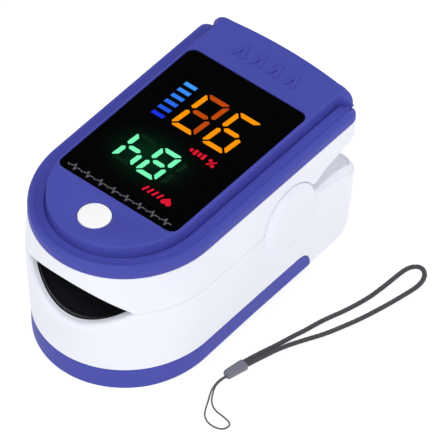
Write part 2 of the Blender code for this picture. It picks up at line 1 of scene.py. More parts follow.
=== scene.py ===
"""Looks of the fingertip pulse oximeter and its wrist lanyard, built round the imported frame.

Lengths in this file are millimetres in the part's own layout (X across, Y from the finger end,
Z up) and become metres in the frame when a mesh is made.
"""

import json
import math

import bmesh
import bpy
import numpy as np
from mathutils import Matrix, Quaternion, Vector


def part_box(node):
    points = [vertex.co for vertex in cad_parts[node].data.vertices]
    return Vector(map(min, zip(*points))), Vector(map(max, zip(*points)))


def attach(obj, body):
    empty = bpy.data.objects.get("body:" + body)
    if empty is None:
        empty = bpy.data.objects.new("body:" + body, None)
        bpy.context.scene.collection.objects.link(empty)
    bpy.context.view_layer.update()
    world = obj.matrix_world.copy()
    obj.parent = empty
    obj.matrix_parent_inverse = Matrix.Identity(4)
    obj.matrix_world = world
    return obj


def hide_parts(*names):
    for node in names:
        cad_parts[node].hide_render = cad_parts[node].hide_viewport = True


MM = 0.001
LENGTH = 58.0

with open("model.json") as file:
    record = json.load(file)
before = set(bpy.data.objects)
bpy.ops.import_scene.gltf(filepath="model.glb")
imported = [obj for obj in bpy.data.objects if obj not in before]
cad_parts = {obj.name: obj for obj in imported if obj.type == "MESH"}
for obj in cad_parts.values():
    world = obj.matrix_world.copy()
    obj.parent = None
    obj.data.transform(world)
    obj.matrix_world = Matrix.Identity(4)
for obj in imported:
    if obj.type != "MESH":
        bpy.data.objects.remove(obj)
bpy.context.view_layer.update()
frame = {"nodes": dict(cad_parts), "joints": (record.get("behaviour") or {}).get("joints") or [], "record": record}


def to_frame(points):
    """Part layout in millimetres to the frame in metres."""
    points = np.asarray(points, float)
    return (points - np.array([0.0, LENGTH / 2, 0.0])) * MM


def node_box(name):
    """A CAD node's lowest and highest corners in the part layout, in millimetres."""
    low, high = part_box(name)
    shift = np.array([0.0, LENGTH / 2, 0.0])
    return np.array(low) / MM + shift, np.array(high) / MM + shift


HINGE = next(j for j in frame["joints"] if j["name"] == "jaw_hinge")
PIVOT_Y = HINGE["pos_m"][1] / MM + LENGTH / 2
PIVOT_Z = HINGE["pos_m"][2] / MM
WINDOW_LOW, WINDOW_HIGH = node_box("display_window")
BUTTON_LOW, BUTTON_HIGH = node_box("power_button")
TOP_Z = 31.0
RIM_Z = 26.6
SHELF_Z = 28.9
MARK_Z = TOP_Z - 0.03
SEAM_Z = 18.5
STRIP_Z = 4.36
WALL = 1.6
WALL_ROWS = 14
EAR_RADIUS = 6.6
BORE_RADIUS = 1.3
OPENING_HALF = 11.3
OPENING_RISE = 4.85
BUTTON_Y = 8.3
SCREW_X = 9.5
SCREW_Y = 50.6


# ---- meshes --------------------------------------------------------------------------------------

def make_object(name, points, faces, sharp=32.0):
    """One mesh object from points in the part layout, smooth but for its sharp edges."""
    mesh = bpy.data.meshes.new(name)
    mesh.from_pydata([tuple(p) for p in to_frame(points)], [], [tuple(f) for f in faces])
    work = bmesh.new()
    work.from_mesh(mesh)
    bmesh.ops.remove_doubles(work, verts=work.verts[:], dist=1e-7)
    bmesh.ops.recalc_face_normals(work, faces=work.faces[:])
    work.to_mesh(mesh)
    work.free()
    item = bpy.data.objects.new(name, mesh)
    bpy.context.collection.objects.link(item)
    shade(item, sharp)
    return item


def shade(item, sharp=32.0):
    mesh = item.data
    mesh.shade_smooth()
    mesh.set_sharp_from_angle(angle=math.radians(sharp))
    return item


def rings_object(name, rings, close_rows=False, sharp=32.0):
    """Closed rings of equal length joined in order, capped unless the last joins the first."""
    rings = np.asarray(rings, float)
    rows, columns = rings.shape[:2]
    faces = []
    for row in range(rows if close_rows else rows - 1):
        following = (row + 1) % rows
        for k in range(columns):
            after = (k + 1) % columns
            faces.append((row * columns + k, row * columns + after,
                          following * columns + after, following * columns + k))
    if not close_rows:
        faces.append(tuple(range(columns)))
        faces.append(tuple(range((rows - 1) * columns, rows * columns)))
    return make_object(name, rings.reshape(-1, 3), faces, sharp)


AXIS_ORDER = {"x": (2, 0, 1), "y": (0, 2, 1), "z": (0, 1, 2)}


def prism(axis, outline, low, high):
    """Prism of a plan outline along an axis: outline holds the two other coordinates in order."""
    rings = [np.array([(u, v, level) for u, v in outline], float)[:, AXIS_ORDER[axis]]
             for level in (low, high)]
    return rings_object("tool", rings)


def box(x, y, z):
    return prism("z", [(x[0], y[0]), (x[1], y[0]), (x[1], y[1]), (x[0], y[1])], *z)


def turned(axis, centre, profile, steps=64, name="tool", sharp=32.0):
    """Circles of (radius, level) stacked about an axis through centre."""
    angles = np.arange(steps) * 2 * math.pi / steps
    rings = []
    for radius, level in profile:
        flat = np.stack([centre[0] + radius * np.cos(angles), centre[1] + radius * np.sin(angles),
                         np.full(steps, level)], 1)
        rings.append(flat[:, AXIS_ORDER[axis]])
    return rings_object(name, rings, sharp=sharp)


def combine(target, tools, operation, sharp=32.0):
    """Apply exact Booleans to target and drop the tools."""
    for tool in tools:
        modifier = target.modifiers.new("combine", "BOOLEAN")
        modifier.operation = operation
        modifier.solver = "EXACT"
        modifier.object = tool
        bpy.context.view_layer.update()
        graph = bpy.context.evaluated_depsgraph_get()
        result = bpy.data.meshes.new_from_object(target.evaluated_get(graph))
        target.modifiers.clear()
        target.data = result
        bpy.data.objects.remove(tool, do_unlink=True)
    return shade(target, sharp)


def cut(target, *tools, sharp=32.0):
    return combine(target, tools, "DIFFERENCE", sharp)


def join(target, *tools, sharp=32.0):
    return combine(target, tools, "UNION", sharp)


def keep(target, *tools, sharp=32.0):
    return combine(target, tools, "INTERSECT", sharp)


# ---- plan outlines -------------------------------------------------------------------------------

class Outline:
    """Right half of the body's plan, from the rear centre round to the front centre, by distance."""

    def __init__(self, half, front, rear, semi, corner):
        points = [(x, rear) for x in np.linspace(0.0, half - corner, 30)]
        for angle in np.linspace(0.0, math.pi / 2, 40)[1:]:
            points.append((half - corner + corner * math.sin(angle),
                           rear - corner + corner * math.cos(angle)))
        points += [(half, y) for y in np.linspace(rear - corner, front + semi, 60)[1:]]
        for angle in np.linspace(0.0, math.pi / 2, 240)[1:]:
            points.append((half * math.cos(angle), front + semi - semi * math.sin(angle)))
        self.points = np.array(points)
        steps = np.linalg.norm(np.diff(self.points, axis=0), axis=1)
        self.travel = np.concatenate([[0.0], np.cumsum(steps)])
        tangent = np.gradient(self.points, self.travel, axis=0)
        tangent /= np.linalg.norm(tangent, axis=1)[:, None]
        self.normal = np.stack([-tangent[:, 1], tangent[:, 0]], 1)
        self.normal[0] = (0.0, 1.0)
        self.normal[-1] = (0.0, -1.0)
        self.length = self.travel[-1]
        self.rear_corner = half - corner
        self.side = half - corner + corner * math.pi / 2
        self.rear_straight = rear - corner
        self.front_straight = front + semi

    def at(self, travel, inset):
        """Plan points at these distances, moved inwards by inset."""
        travel = np.clip(np.asarray(travel, float), 0.0, self.length)
        place = np.stack([np.interp(travel, self.travel, self.points[:, k]) for k in (0, 1)], -1)
        normal = np.stack([np.interp(travel, self.travel, self.normal[:, k]) for k in (0, 1)], -1)
        normal /= np.linalg.norm(normal, axis=-1)[..., None]
        return place - normal * np.asarray(inset, float)[..., None]

    def travel_at_y(self, y):
        """Distance along the straight side at this Y."""
        return self.side + (self.rear_straight - y)

    def travel_at_front_x(self, x):
        """Distance of the front point with this X."""
        start = np.searchsorted(self.travel, self.side + self.rear_straight - self.front_straight)
        return np.interp(-x, -self.points[start:, 0], self.travel[start:])


BODY = Outline(16.3, 0.0, 56.6, 17.4, 2.2)
LOWER = Outline(16.3, 0.0, 56.3, 17.4, 2.2)


SWELL = ((4.3, 0.0), (6.5, 0.06), (9.0, 0.2), (11.5, 0.36), (14.0, 0.5), (16.5, 0.59), (18.3, 0.62),
         (20.0, 0.59), (22.0, 0.5), (24.5, 0.34), (26.6, 0.15))


def swell(height):
    """How far the walls stand out past the plan at these heights: most at the seam."""
    return np.interp(height, *zip(*SWELL))


def smooth(share):
    """Eased step from 0 to 1."""
    return share * share * (3 - 2 * share)


def quarter(share):
    """Drop of a quarter circle at this share of its radius from its flat end."""
    return 1 - np.sqrt(np.maximum(1 - share ** 2, 0.0))


def mirrored(half_rings):
    """Complete right-half columns with their mirror images on the left."""
    left = half_rings[:, -2:0:-1].copy()
    left[..., 0] *= -1
    full = np.concatenate([half_rings, left], 1)
    full[:, 0, 0] = 0.0
    full[:, half_rings.shape[1] - 1, 0] = 0.0
    return full


def inner_normals(path, into):
    """Unit normals of a path in the (distance, height) plane, on the side that `into` points to."""
    tangent = np.gradient(path, axis=0)
    tangent /= np.maximum(np.linalg.norm(tangent, axis=1), 1e-9)[:, None]
    normal = np.stack([-tangent[:, 1], tangent[:, 0]], 1)
    if (normal[:, 1].mean() > 0) != (into > 0):
        normal = -normal
    normal[0] = (0.0, into)
    normal[-1] = (0.0, into)
    return normal


def relaxed(values, rounds):
    values = values.copy()
    for _ in range(rounds):
        values[1:-1] = (values[:-2] + 2 * values[1:-1] + values[2:]) / 4
    return values


def resample(path, step):
    """The path with points at an even step, its own corners included."""
    points = [path[0]]
    for first, second in zip(path, path[1:]):
        first, second = np.array(first, float), np.array(second, float)
        count = max(1, int(round(np.linalg.norm(second - first) / step)))
        for k in range(1, count + 1):
            points.append(tuple(first + (second - first) * k / count))
    return np.array(points)


def wall_object(name, surface, low, high, low_round, high_round, bevel=None):
    """Closed wall between two edge paths on a surface, with rounded outer edges.

    low and high hold (distance, height) for each column; low_round and high_round are radii by
    column; bevel holds (inset, rise) by column for a chamfer that follows the upper edge.
    """
    into_low = inner_normals(low, 1)
    into_high = inner_normals(high, -1)
    rings = []

    def add(path, inset):
        rings.append(surface(path[:, 0], path[:, 1], inset * np.ones(len(low))))

    turns = np.linspace(0.0, math.pi / 2, 6)
    for turn in turns:
        add(low + into_low * (low_round * (1 - math.cos(turn)))[:, None],
            low_round * (1 - math.sin(turn)))
    start = low + into_low * low_round[:, None]
    end = high + into_high * high_round[:, None]
    for share in np.linspace(0.0, 1.0, WALL_ROWS + 1)[1:-1]:
        add(start + (end - start) * share, 0.0)
    for turn in turns[::-1]:
        add(high + into_high * (high_round * (1 - math.cos(turn)))[:, None],
            high_round * (1 - math.sin(turn)))
    top = high.copy()
    depth = WALL
    if bevel is not None:
        width, rise = bevel.T
        for share in (0.5, 0.9, 1.0, 1.08):
            level = high.copy()
            level[:, 1] += rise * (1.0 - (1.0 - min(share, 1.0)) ** 1.35)
            add(level, high_round + (width - high_round) * share)
        top[:, 1] += rise
        depth = np.maximum(WALL, width * 1.08 + 0.1)
    for share in (0.0, 0.35, 0.7):
        add(top + (low - top) * share, depth)
    add(low, np.maximum(WALL, low_round + 0.05))
    return rings_object(name, mirrored(np.array(rings)), close_rows=True)


def body_surface(travel, height, inset):
    plan = BODY.at(travel, inset - swell(height))
    return np.concatenate([plan, height[:, None]], 1)


def lower_step(travel, height):
    """How far the lower body's side steps in near the underside, less at its front."""
    forward = np.clip((travel - LOWER.travel_at_y(30.0)) / 24.0, 0.0, 1.0)
    taper = np.clip((height - 2.0) / 6.5, 0.0, 1.0)
    foot = np.clip(1 - height, 0.0, 1.0)
    return (0.26 - 0.2 * forward) * (1 - smooth(taper)) + (0.72 - 0.62 * forward) * quarter(foot)


SQUEEZE_Y = 46.0
REAR_FOOT = 4.5


def lower_rear(height):
    """Where the rear wall stands at these heights: it curves forward near the underside."""
    return 55.9 - 4.7 * quarter(np.clip(1 - height / REAR_FOOT, 0.0, 1.0))


def lower_surface(travel, height, inset):
    plan = LOWER.at(travel, inset + lower_step(travel, height) - swell(height))
    past = np.maximum(plan[:, 1] - SQUEEZE_Y, 0.0)
    reach = (lower_rear(height) - SQUEEZE_Y) / 10.0
    plan[:, 1] += past * (reach - 1.0)
    return np.concatenate([plan, height[:, None]], 1)


# ---- white upper shell ---------------------------------------------------------------------------

UPPER_REAR = ((54.9, 23.65), (53.6, 23.15), (52.3, 22.85), (51.0, 22.6), (49.3, 22.35), (47.7, 22.0),
              (46.4, 21.5), (45.4, 20.98), (44.95, 20.8), (44.6, 20.74))


def upper_edge():
    """Lower edge of the upper shell, from the rear centre to the front centre."""
    ring = EAR_RADIUS + 0.16
    seam = SEAM_Z + 0.02
    corner = float(BODY.travel_at_front_x(OPENING_HALF))
    path = [(0.0, 24.75), (BODY.rear_corner, 24.7), (BODY.rear_corner + 1.8, 24.4)]
    path += [(BODY.travel_at_y(y), z) for y, z in UPPER_REAR]
    path = [tuple(p) for p in resample(path, 0.7)]
    first = math.asin((20.95 - PIVOT_Z) / ring)
    last = math.pi - math.asin((SEAM_Z + 0.05 - PIVOT_Z) / ring)
    path += [(BODY.travel_at_y(PIVOT_Y + ring * math.cos(angle)), PIVOT_Z + ring * math.sin(angle))
             for angle in np.linspace(first, last, 64)]
    path += [tuple(p) for p in resample([path[-1], (corner, seam)], 0.7)[1:]]
    for travel in np.linspace(corner, BODY.length, 70)[1:]:
        x = BODY.at(travel, np.array(0.0))[0]
        path.append((travel, seam + 0.02 + OPENING_RISE * (1 - (x / OPENING_HALF) ** 2)))
    return np.array(path)


DECK = ((1.0, 23.7), (38.0, 23.7), (42.2, 20.35), (43.7, 19.9), (45.2, 20.4), (47.7, 21.6),
        (51.0, 22.25), (53.0, 22.65), (54.9, 23.6), (55.6, 24.4), (55.6, 25.4), (54.4, 25.4),
        (54.1, 24.2), (48.1, 24.2), (47.7, 22.4), (43.4, 20.9), (38.4, 24.4), (1.0, 24.4))


def upper_shell():
    """Side wall with a deck across it, a lug at each ear, screw holes and two cable holes."""
    low = upper_edge()
    travel = relaxed(low[:, 0], 60)
    high = np.stack([travel, np.full(len(travel), RIM_Z - 0.06)], 1)
    mouth = low[:, 0] > BODY.travel_at_front_x(OPENING_HALF - 0.4)
    low_round = relaxed(np.where(mouth, 0.4, 0.06), 12)
    shell = wall_object("shell_upper", body_surface, low, high, low_round, np.full(len(low), 0.12))
    deck = prism("x", DECK, -17.0, 17.0)
    keep(deck, rings_object("tool", [plan_ring(0.8, z) for z in (15.0, 30.0)]))
    join(shell, deck)
    for side in (1, -1):
        join(shell, hinge_lug(side))
        cut(shell, turned("z", (side * SCREW_X, SCREW_Y), [(1.9, 18.0), (1.9, 22.9)], 40))
    cut(shell, box((-2.9, 2.9), (30.4, 34.4), (23.0, 25.0)), box((-3.0, 3.0), (14.6, 21.4), (23.0, 25.0)))
    return shell


def plan_ring(inset, height):
    """Whole outline of the body at a height, set in by a distance."""
    columns = 240
    travel = np.linspace(0.0, BODY.length, columns)
    plan = BODY.at(travel, np.full(columns, float(inset)))
    half = np.concatenate([plan, np.full((columns, 1), float(height))], 1)
    return mirrored(half[None])[0]


LUG_X = (12.4, 14.9)
LUG_ARCS = ((7.6, 21, 146, 40), (4.5, 195, 150, 30))


def hinge_lug(side):
    """Plate inside the side wall that closes the gap round the ear and carries the shaft."""
    points = []
    for radius, start, sweep, steps in LUG_ARCS:
        for k in range(steps + 1):
            angle = math.radians(start + sweep * k / steps)
            points.append((PIVOT_Y + radius * math.cos(angle), PIVOT_Z + radius * math.sin(angle)))
    plate = prism("x", points, side * LUG_X[0], side * LUG_X[1])
    ring = turned("x", (PIVOT_Y, PIVOT_Z), [(6.95, side * 14.42), (6.95, side * 16.0)], 72)
    bore = turned("x", (PIVOT_Y, PIVOT_Z), [(BORE_RADIUS, side * 11.0), (BORE_RADIUS, side * 16.0)], 48)
    return cut(plate, ring, bore)


# ---- white lower shell ---------------------------------------------------------------------------

COVER_END = 44.5
COVER_CORNER = 3.3


def lower_low_edge():
    """Lower edge: the underside behind, a rounded step, then the line above the battery cover."""
    end = LOWER.travel_at_y(COVER_END + 0.12)
    line = STRIP_Z + 0.1
    path = [tuple(p) for p in resample([(0.0, 0.0), (end, 0.0), (end, line - COVER_CORNER)], 0.5)]
    for angle in np.linspace(0.0, math.pi / 2, 14)[1:]:
        path.append((end + COVER_CORNER - COVER_CORNER * math.cos(angle),
                     line - COVER_CORNER + COVER_CORNER * math.sin(angle)))
    path += [tuple(p) for p in resample([path[-1], (LOWER.length, line)], 0.5)[1:]]
    return np.array(path)


EDGE_START = 43.9
RIDGE = ((EDGE_START, SEAM_Z - 0.02), (44.1, 18.35), (45.3, 18.0), (47.0, 17.45), (50.4, 16.55),
         (52.6, 15.75), (53.8, 15.4), (55.0, 15.2), (58.0, 15.2))
ROOF = ((EDGE_START, SEAM_Z - 0.02), (44.3, 18.35), (51.0, 17.55), (53.5, 17.05), (55.4, 16.2), (58.0, 16.1))
BEVEL_WIDTH = ((EDGE_START, 0.0), (45.5, 0.7), (51.0, 1.1), (54.0, 1.0), (58.0, 0.6))


def lower_high_edge(travel):
    """Height of the upper edge, and its bevel, at these distances."""
    x = LOWER.at(travel, np.zeros(len(travel)))[:, 0]
    y = LOWER.rear_straight + LOWER.side - travel
    lip = SEAM_Z - 0.05 - OPENING_RISE * (1 - (np.minimum(x, OPENING_HALF) / OPENING_HALF) ** 2)
    ridge, roof, width = (np.interp(y, *zip(*line)) for line in (RIDGE, ROOF, BEVEL_WIDTH))
    height = np.where(travel > LOWER.travel_at_front_x(OPENING_HALF), lip, SEAM_Z - 0.02)
    height = np.where(y > EDGE_START, ridge, height)
    rise = np.where(y > EDGE_START, roof - ridge, 0.0)
    return height, np.stack([width, rise], 1)


def lower_shell():
    """Side wall with the squeeze end's roof, a floor behind the battery door and the two ears."""
    low = lower_low_edge()
    travel = relaxed(low[:, 0], 160)
    height, bevel = lower_high_edge(travel)
    high = np.stack([travel, height], 1)
    mouth = travel > LOWER.travel_at_front_x(OPENING_HALF + 0.2)
    behind = travel < LOWER.travel_at_y(45.0)
    high_round = relaxed(np.where(mouth, 1.0, 0.06), 16)
    high_round = relaxed(np.where(behind, 0.35, high_round), 2)
    bevel[:, 0] = np.maximum(bevel[:, 0], high_round + 0.04)
    low_round = np.where(low[:, 1] > 0.5, 0.12, 0.05)
    shell = wall_object("shell_lower", lower_surface, low, high, low_round, high_round, bevel)
    join(shell, roof_plate(), floor_plate())
    for side in (1, -1):
        join(shell, ear(side))
        bore = [(BORE_RADIUS, side * 14.0), (BORE_RADIUS, side * 16.6)]
        cut(shell, turned("x", (PIVOT_Y, PIVOT_Z), bore, 48))
    cut(shell, box((-11.6, 11.6), (40.0, 52.1), (-1.0, 1.9)))
    return shell


ROOF_PLATE = ((44.75, 18.26, 15.6), (47.0, 18.0, 15.6), (49.0, 17.76, 15.6), (51.0, 17.52, 15.55),
              (52.6, 17.22, 15.5), (53.5, 17.02, 15.4), (54.5, 16.6, 15.2), (55.2, 16.25, 14.9))
ROOF_DEPTH = 1.5


def roof_plate():
    """Top of the squeeze end, set between the bevels of the side walls."""
    rings = []
    for y, roof, half in ROOF_PLATE:
        ring = [(half * share, y, roof) for share in (-1.0, -0.5, 0.0, 0.5, 1.0)]
        rings.append(ring + [(half, y, roof - ROOF_DEPTH), (-half, y, roof - ROOF_DEPTH)])
    return rings_object("tool", rings)


def floor_plate():
    """Underside behind the battery cover."""
    rings = [lower_ring(height, 0.5, 160) for height in (0.03, 0.4, 1.0, 1.9)]
    return keep(rings_object("tool", rings), box((-20.0, 20.0), (COVER_END + 0.6, 60.0), (-1.0, 5.0)))


def lower_ring(height, inset, columns):
    """Whole outline of the lower body at a height."""
    travel = np.linspace(0.0, LOWER.length, columns)
    half = lower_surface(travel, np.full(columns, height), np.full(columns, inset))
    return mirrored(half[None])[0]


def ear(side):
    """Round hinge boss with a soft bevel and a shallow dish, on the side of the lower shell."""
    profile = [(EAR_RADIUS, 14.76), (EAR_RADIUS, 16.6), (EAR_RADIUS - 0.02, 16.74),
               (EAR_RADIUS - 0.08, 16.85)]
    for share in np.linspace(0.0, 1.0, 7)[1:]:
        profile.append((EAR_RADIUS - 0.08 - 1.1 * share, 16.85 + 0.92 * share ** 0.8))
    profile += [(5.32, 17.8), (5.24, 17.79), (5.18, 17.73), (5.12, 17.69), (4.6, 17.68), (2.0, 17.7)]
    return turned("x", (PIVOT_Y, PIVOT_Z), [(r, side * x) for r, x in profile], 96)


# ---- blue top cover ------------------------------------------------------------------------------

REAR_BOW = 0.0058
CREASE_DEPTH = 0.45
SHELF_LINE = 0.1
REAR_SHELF_Z = 28.0
PLATEAU_HALF = 13.1
PLATEAU_SEMI = 14.4
PLATEAU_FRONT = 2.65
FLARE = 1.6
WING = ((0.0, 54.2), (0.0, 54.65), (0.05, 55.0), (0.16, 55.24), (0.34, 55.42), (0.55, 55.6), (0.78, 55.8),
        (0.92, 56.02), (1.0, 56.3), (1.03, 56.55), (1.02, 56.78), (0.96, 56.97), (0.85, 57.12), (0.7, 57.22),
        (0.52, 57.29))
SHELF_STEP = ((0.1, 0.0), (0.2, 0.3), (0.32, 0.75), (0.45, 0.95), (0.62, 1.0), (0.75, 1.0))
PLATEAU_SIDE = ((0.1, 0.0, FLARE), (0.35, 0.01, 1.58), (0.7, 0.02, 1.45), (1.05, 0.03, 1.2),
                (1.35, 0.04, 0.95), (1.6, 0.05, 0.7), (1.72, 0.06, 0.53))


def cover_columns():
    """The rim's outline, with matched stations of rim and plateau from the rear centre to the front.

    Each station is (distance along the rim, plateau part, plateau data, rear weight).
    """
    rim = Outline(16.48, -0.16, 56.8, 17.56, 2.0)
    wing_start = rim.rear_corner - 0.6
    wing_end = rim.side + 0.6
    front = rim.travel_at_y(rim.front_straight)
    stations = [(share * wing_start, "rear", share, 1.0) for share in np.linspace(0.0, 1.0, 14)[:-1]]
    for k, point in enumerate(reversed(WING)):
        place = k / (len(WING) - 1)
        stations.append((wing_start + (wing_end - wing_start) * place, "wing", point, 1.0 - place))
    stations += [(rim.travel_at_y(y), "side", y, 0.0) for y in np.linspace(53.6, rim.front_straight, 22)]
    stations += [(front + (rim.length - front) * share, "front", share, 0.0)
                 for share in np.linspace(0.0, 1.0, 61)[1:]]
    return rim, stations


def plateau_point(kind, data, inset, flare):
    """Plan point of the raised top's edge at a station; flare widens its rear corners."""
    half = PLATEAU_HALF - inset
    full = min(flare, 1.0)
    if kind == "rear":
        x = data * (half + 0.5 * flare - 0.45 - 0.85 * (1 - full))
        return x, LENGTH - inset - REAR_BOW * x * x
    if kind == "wing":
        share, y = data
        x = half + share * flare - 1.3 * max(0.0, y - 56.3) ** 1.6 * (1 - full)
        return x, min(y, LENGTH - inset - REAR_BOW * x * x + 0.3 * full)
    if kind == "side":
        return half, data
    angle = data * math.pi / 2
    semi = PLATEAU_SEMI - inset
    return half * math.cos(angle), PLATEAU_FRONT + PLATEAU_SEMI - semi * math.sin(angle)


def cover_rings():
    """Rings from the rim's underside out, up and in over the shelf to the top of the plateau."""
    rim, stations = cover_columns()
    travel = np.array([station[0] for station in stations])
    rear = smooth(np.array([station[3] for station in stations]))
    ones = np.ones(len(stations))
    fillet = 0.95 * (1 - rear) + 0.7 * rear
    level = SHELF_Z * (1 - rear) + REAR_SHELF_Z * rear
    line = SHELF_LINE * (1 - rear)
    groove = CREASE_DEPTH * (1 - rear)
    base = RIM_Z + 0.1

    def rim_ring(height, inset):
        return np.concatenate([rim.at(travel, inset * ones), (height * ones)[:, None]], 1)

    def plateau_ring(height, inset, flare):
        return np.array([(*plateau_point(station[1], station[2], inset, flare), level)
                         for station, level in zip(stations, height * ones)])

    rings = [rim_ring(RIM_Z, 0.8), rim_ring(RIM_Z, 0.1), rim_ring(RIM_Z + 0.03, 0.03), rim_ring(base, 0.0)]
    rings += [rim_ring(base + (level - fillet - base) * share, 0.0) for share in (0.35, 0.7, 1.0)]
    rings += [rim_ring(level - fillet * (1 - math.sin(turn)), fillet * (1 - math.cos(turn)))
              for turn in np.linspace(0.0, math.pi / 2, 9)[1:]]
    rings += [rim_ring(level - line * share, fillet + inset * (1 - 0.8 * rear))
              for inset, share in SHELF_STEP]
    foot = [plateau_ring(level - groove * depth, inset, FLARE)
            for depth, inset in ((0.75, -0.2), (1.0, -0.1), (0.6, 0.0))]
    ledge = rings[-1] + (foot[0] - rings[-1]) * 0.86
    ledge[:, 2] = level - line
    rings += [ledge] + foot
    rings += [plateau_ring(np.maximum(level + 0.1 + 0.02 * height, SHELF_Z + height), inset, flare)
              for height, inset, flare in PLATEAU_SIDE]
    rings += [plateau_ring(TOP_Z - 0.3 * (1 - math.sin(turn)), 0.07 + 0.3 * (1 - math.cos(turn)),
                           0.48 * (1 - math.sin(turn)) + 0.05) for turn in np.linspace(0.0, math.pi / 2, 7)]
    rings.append(plateau_ring(TOP_Z, 0.45, 0.02))
    return mirrored(np.array(rings))


def top_cover():
    """Blue top with a hollow underside, a window pocket, a button hole, screw posts and chevrons."""
    cover = rings_object("cover_top", cover_rings(), sharp=40)
    cut(cover, rings_object("tool", [plan_ring(1.55, z) for z in (25.0, 27.6)]))
    bay = rounded_rectangle((-11.0, 11.0), (14.6, 46.7), 0.8, 6)
    cut(cover, prism("z", bay, 26.0, 30.4))
    pocket = rounded_rectangle((WINDOW_LOW[0] - 0.1, WINDOW_HIGH[0] + 0.1),
                               (WINDOW_LOW[1] - 0.1, WINDOW_HIGH[1] + 0.1), 1.6, 14)
    cut(cover, prism("z", pocket, 29.8, 33.0))
    collar = (BUTTON_HIGH[0] - BUTTON_LOW[0]) / 2 + 0.35
    cut(cover, turned("z", (0.0, BUTTON_Y), [(collar, 26.5), (collar, 29.6)], 64))
    hole = [(2.96, 29.0), (2.96, 30.88), (2.99, 30.96), (3.07, 31.01), (3.2, 33.0)]
    cut(cover, turned("z", (0.0, BUTTON_Y), hole, 96))
    for side in (1, -1):
        join(cover, turned("z", (side * SCREW_X, SCREW_Y), [(2.2, 24.95), (2.2, 28.0)], 40))
        cut(cover, turned("z", (side * SCREW_X, SCREW_Y), [(0.95, 24.0), (0.95, 27.4)], 32))
    for k in range(4):
        join(cover, squeeze_mark(-5.4 + 3.6 * k), sharp=40)
    return shade(cover, 40)


def rounded_rectangle(x, y, radius, steps):
    """Outline of a rectangle with round corners."""
    points = []
    for sx, sy, start in ((1, 1, 0), (-1, 1, 90), (-1, -1, 180), (1, -1, 270)):
        centre_x = (x[1] if sx > 0 else x[0]) - sx * radius
        centre_y = (y[1] if sy > 0 else y[0]) - sy * radius
        for k in range(steps + 1):
            angle = math.radians(start + 90 * k / steps)
            points.append((centre_x + radius * math.cos(angle), centre_y + radius * math.sin(angle)))
    return points


def squeeze_mark(x):
    """One raised chevron of the squeeze mark, with a sloped edge."""
    points = np.array([(-1.2, 51.2), (-0.55, 51.2), (0.0, 53.1), (0.55, 51.2), (1.2, 51.2), (0.32, 54.3),
                       (-0.32, 54.3)])
    centre = points.mean(0)
    rings = []
    for height, scale in ((-0.4, 1.0), (0.12, 1.0), (0.2, 0.93)):
        rings.append([(x + u, v, TOP_Z + height) for u, v in centre + (points - centre) * scale])
    return rings_object("tool", rings)


# ---- blue battery cover --------------------------------------------------------------------------

def battery_cover():
    """Blue door: the strip round the lower body, its underside and a tongue at its rear."""
    edge = [(z, 0.0) for z in (0.0, 0.04, 0.12, 0.25, 0.42, 0.65, 0.9, 1.4, 2.2, 3.2)]
    edge += [(STRIP_Z - 0.22 * (1 - math.sin(t)), 0.22 * (1 - math.cos(t)))
             for t in np.linspace(0.0, math.pi / 2, 6)]
    rings = [lower_ring(height, inset + 0.06, 220) for height, inset in edge]
    cover = rings_object("cover_battery", rings, sharp=40)
    profile = [(-5.0, -5.0), (-5.0, STRIP_Z + 1.0), (30.0, STRIP_Z + 1.0), (30.01, STRIP_Z + 0.002)]
    for k in range(17):
        angle = math.radians(90 - 90 * k / 16)
        profile.append((COVER_END - COVER_CORNER + COVER_CORNER * math.cos(angle),
                        STRIP_Z - COVER_CORNER + COVER_CORNER * math.sin(angle) + 0.001))
    profile.append((COVER_END, -5.0))
    keep(cover, prism("x", profile, -20.0, 20.0))
    cut(cover, rings_object("tool", [plan_ring(1.75, z) for z in (1.2, 8.0)]))
    join(cover, box((-11.3, 11.3), (43.0, 51.8), (0.001, 1.201)))
    return shade(cover, 40)


# ---- pads, window, button ------------------------------------------------------------------------

PAD_REAR = 29.3
PAD_RUN = 25.6
PAD_SEMI = 17.4
SENSOR_Y = 18.0
SENSOR_HALF = 2.4


def pad_object(name, base, edge, valley, sign):
    """Rubber finger pad with a trough, a rolled front edge and a stop wall at its rear."""
    inset = WALL - 0.3
    across = np.linspace(-1.0, 1.0, 49) * 12.6
    along = [*(np.linspace(0.0, 1.0, 12) ** 1.6 * 2.2), *np.linspace(2.9, PAD_RUN, 20),
             26.4, 27.0, 27.4, 27.6]
    start = PAD_SEMI - (PAD_SEMI - inset) * np.sqrt(np.maximum(0.0, 1 - (across / (16.3 - inset)) ** 2))
    profile = np.maximum(0.0, 1 - (across / 11.4) ** 2)
    top = []
    for v in along:
        roll = 0.55 * math.exp(-((v - 0.35) / 0.55) ** 2)
        sink = 0.4 * (1 - math.exp(-v / 2.4))
        z = edge + (valley - edge) * profile + sign * (0.8 * (roll - sink) * profile ** 0.5 + 0.06)
        if v > PAD_RUN:
            z += (edge + sign * 0.4 - z) * ((v - PAD_RUN) / 2.0) ** 0.7
        top.append(np.stack([across, start + v * (PAD_REAR - start) / PAD_REAR, z], 1))
    pad = slab(name, np.array(top), base)
    hole = box((-SENSOR_HALF, SENSOR_HALF), (SENSOR_Y - SENSOR_HALF, SENSOR_Y + SENSOR_HALF),
               (min(base, valley) - 1.0, max(base, valley) + 1.5))
    return cut(pad, hole, sharp=50)


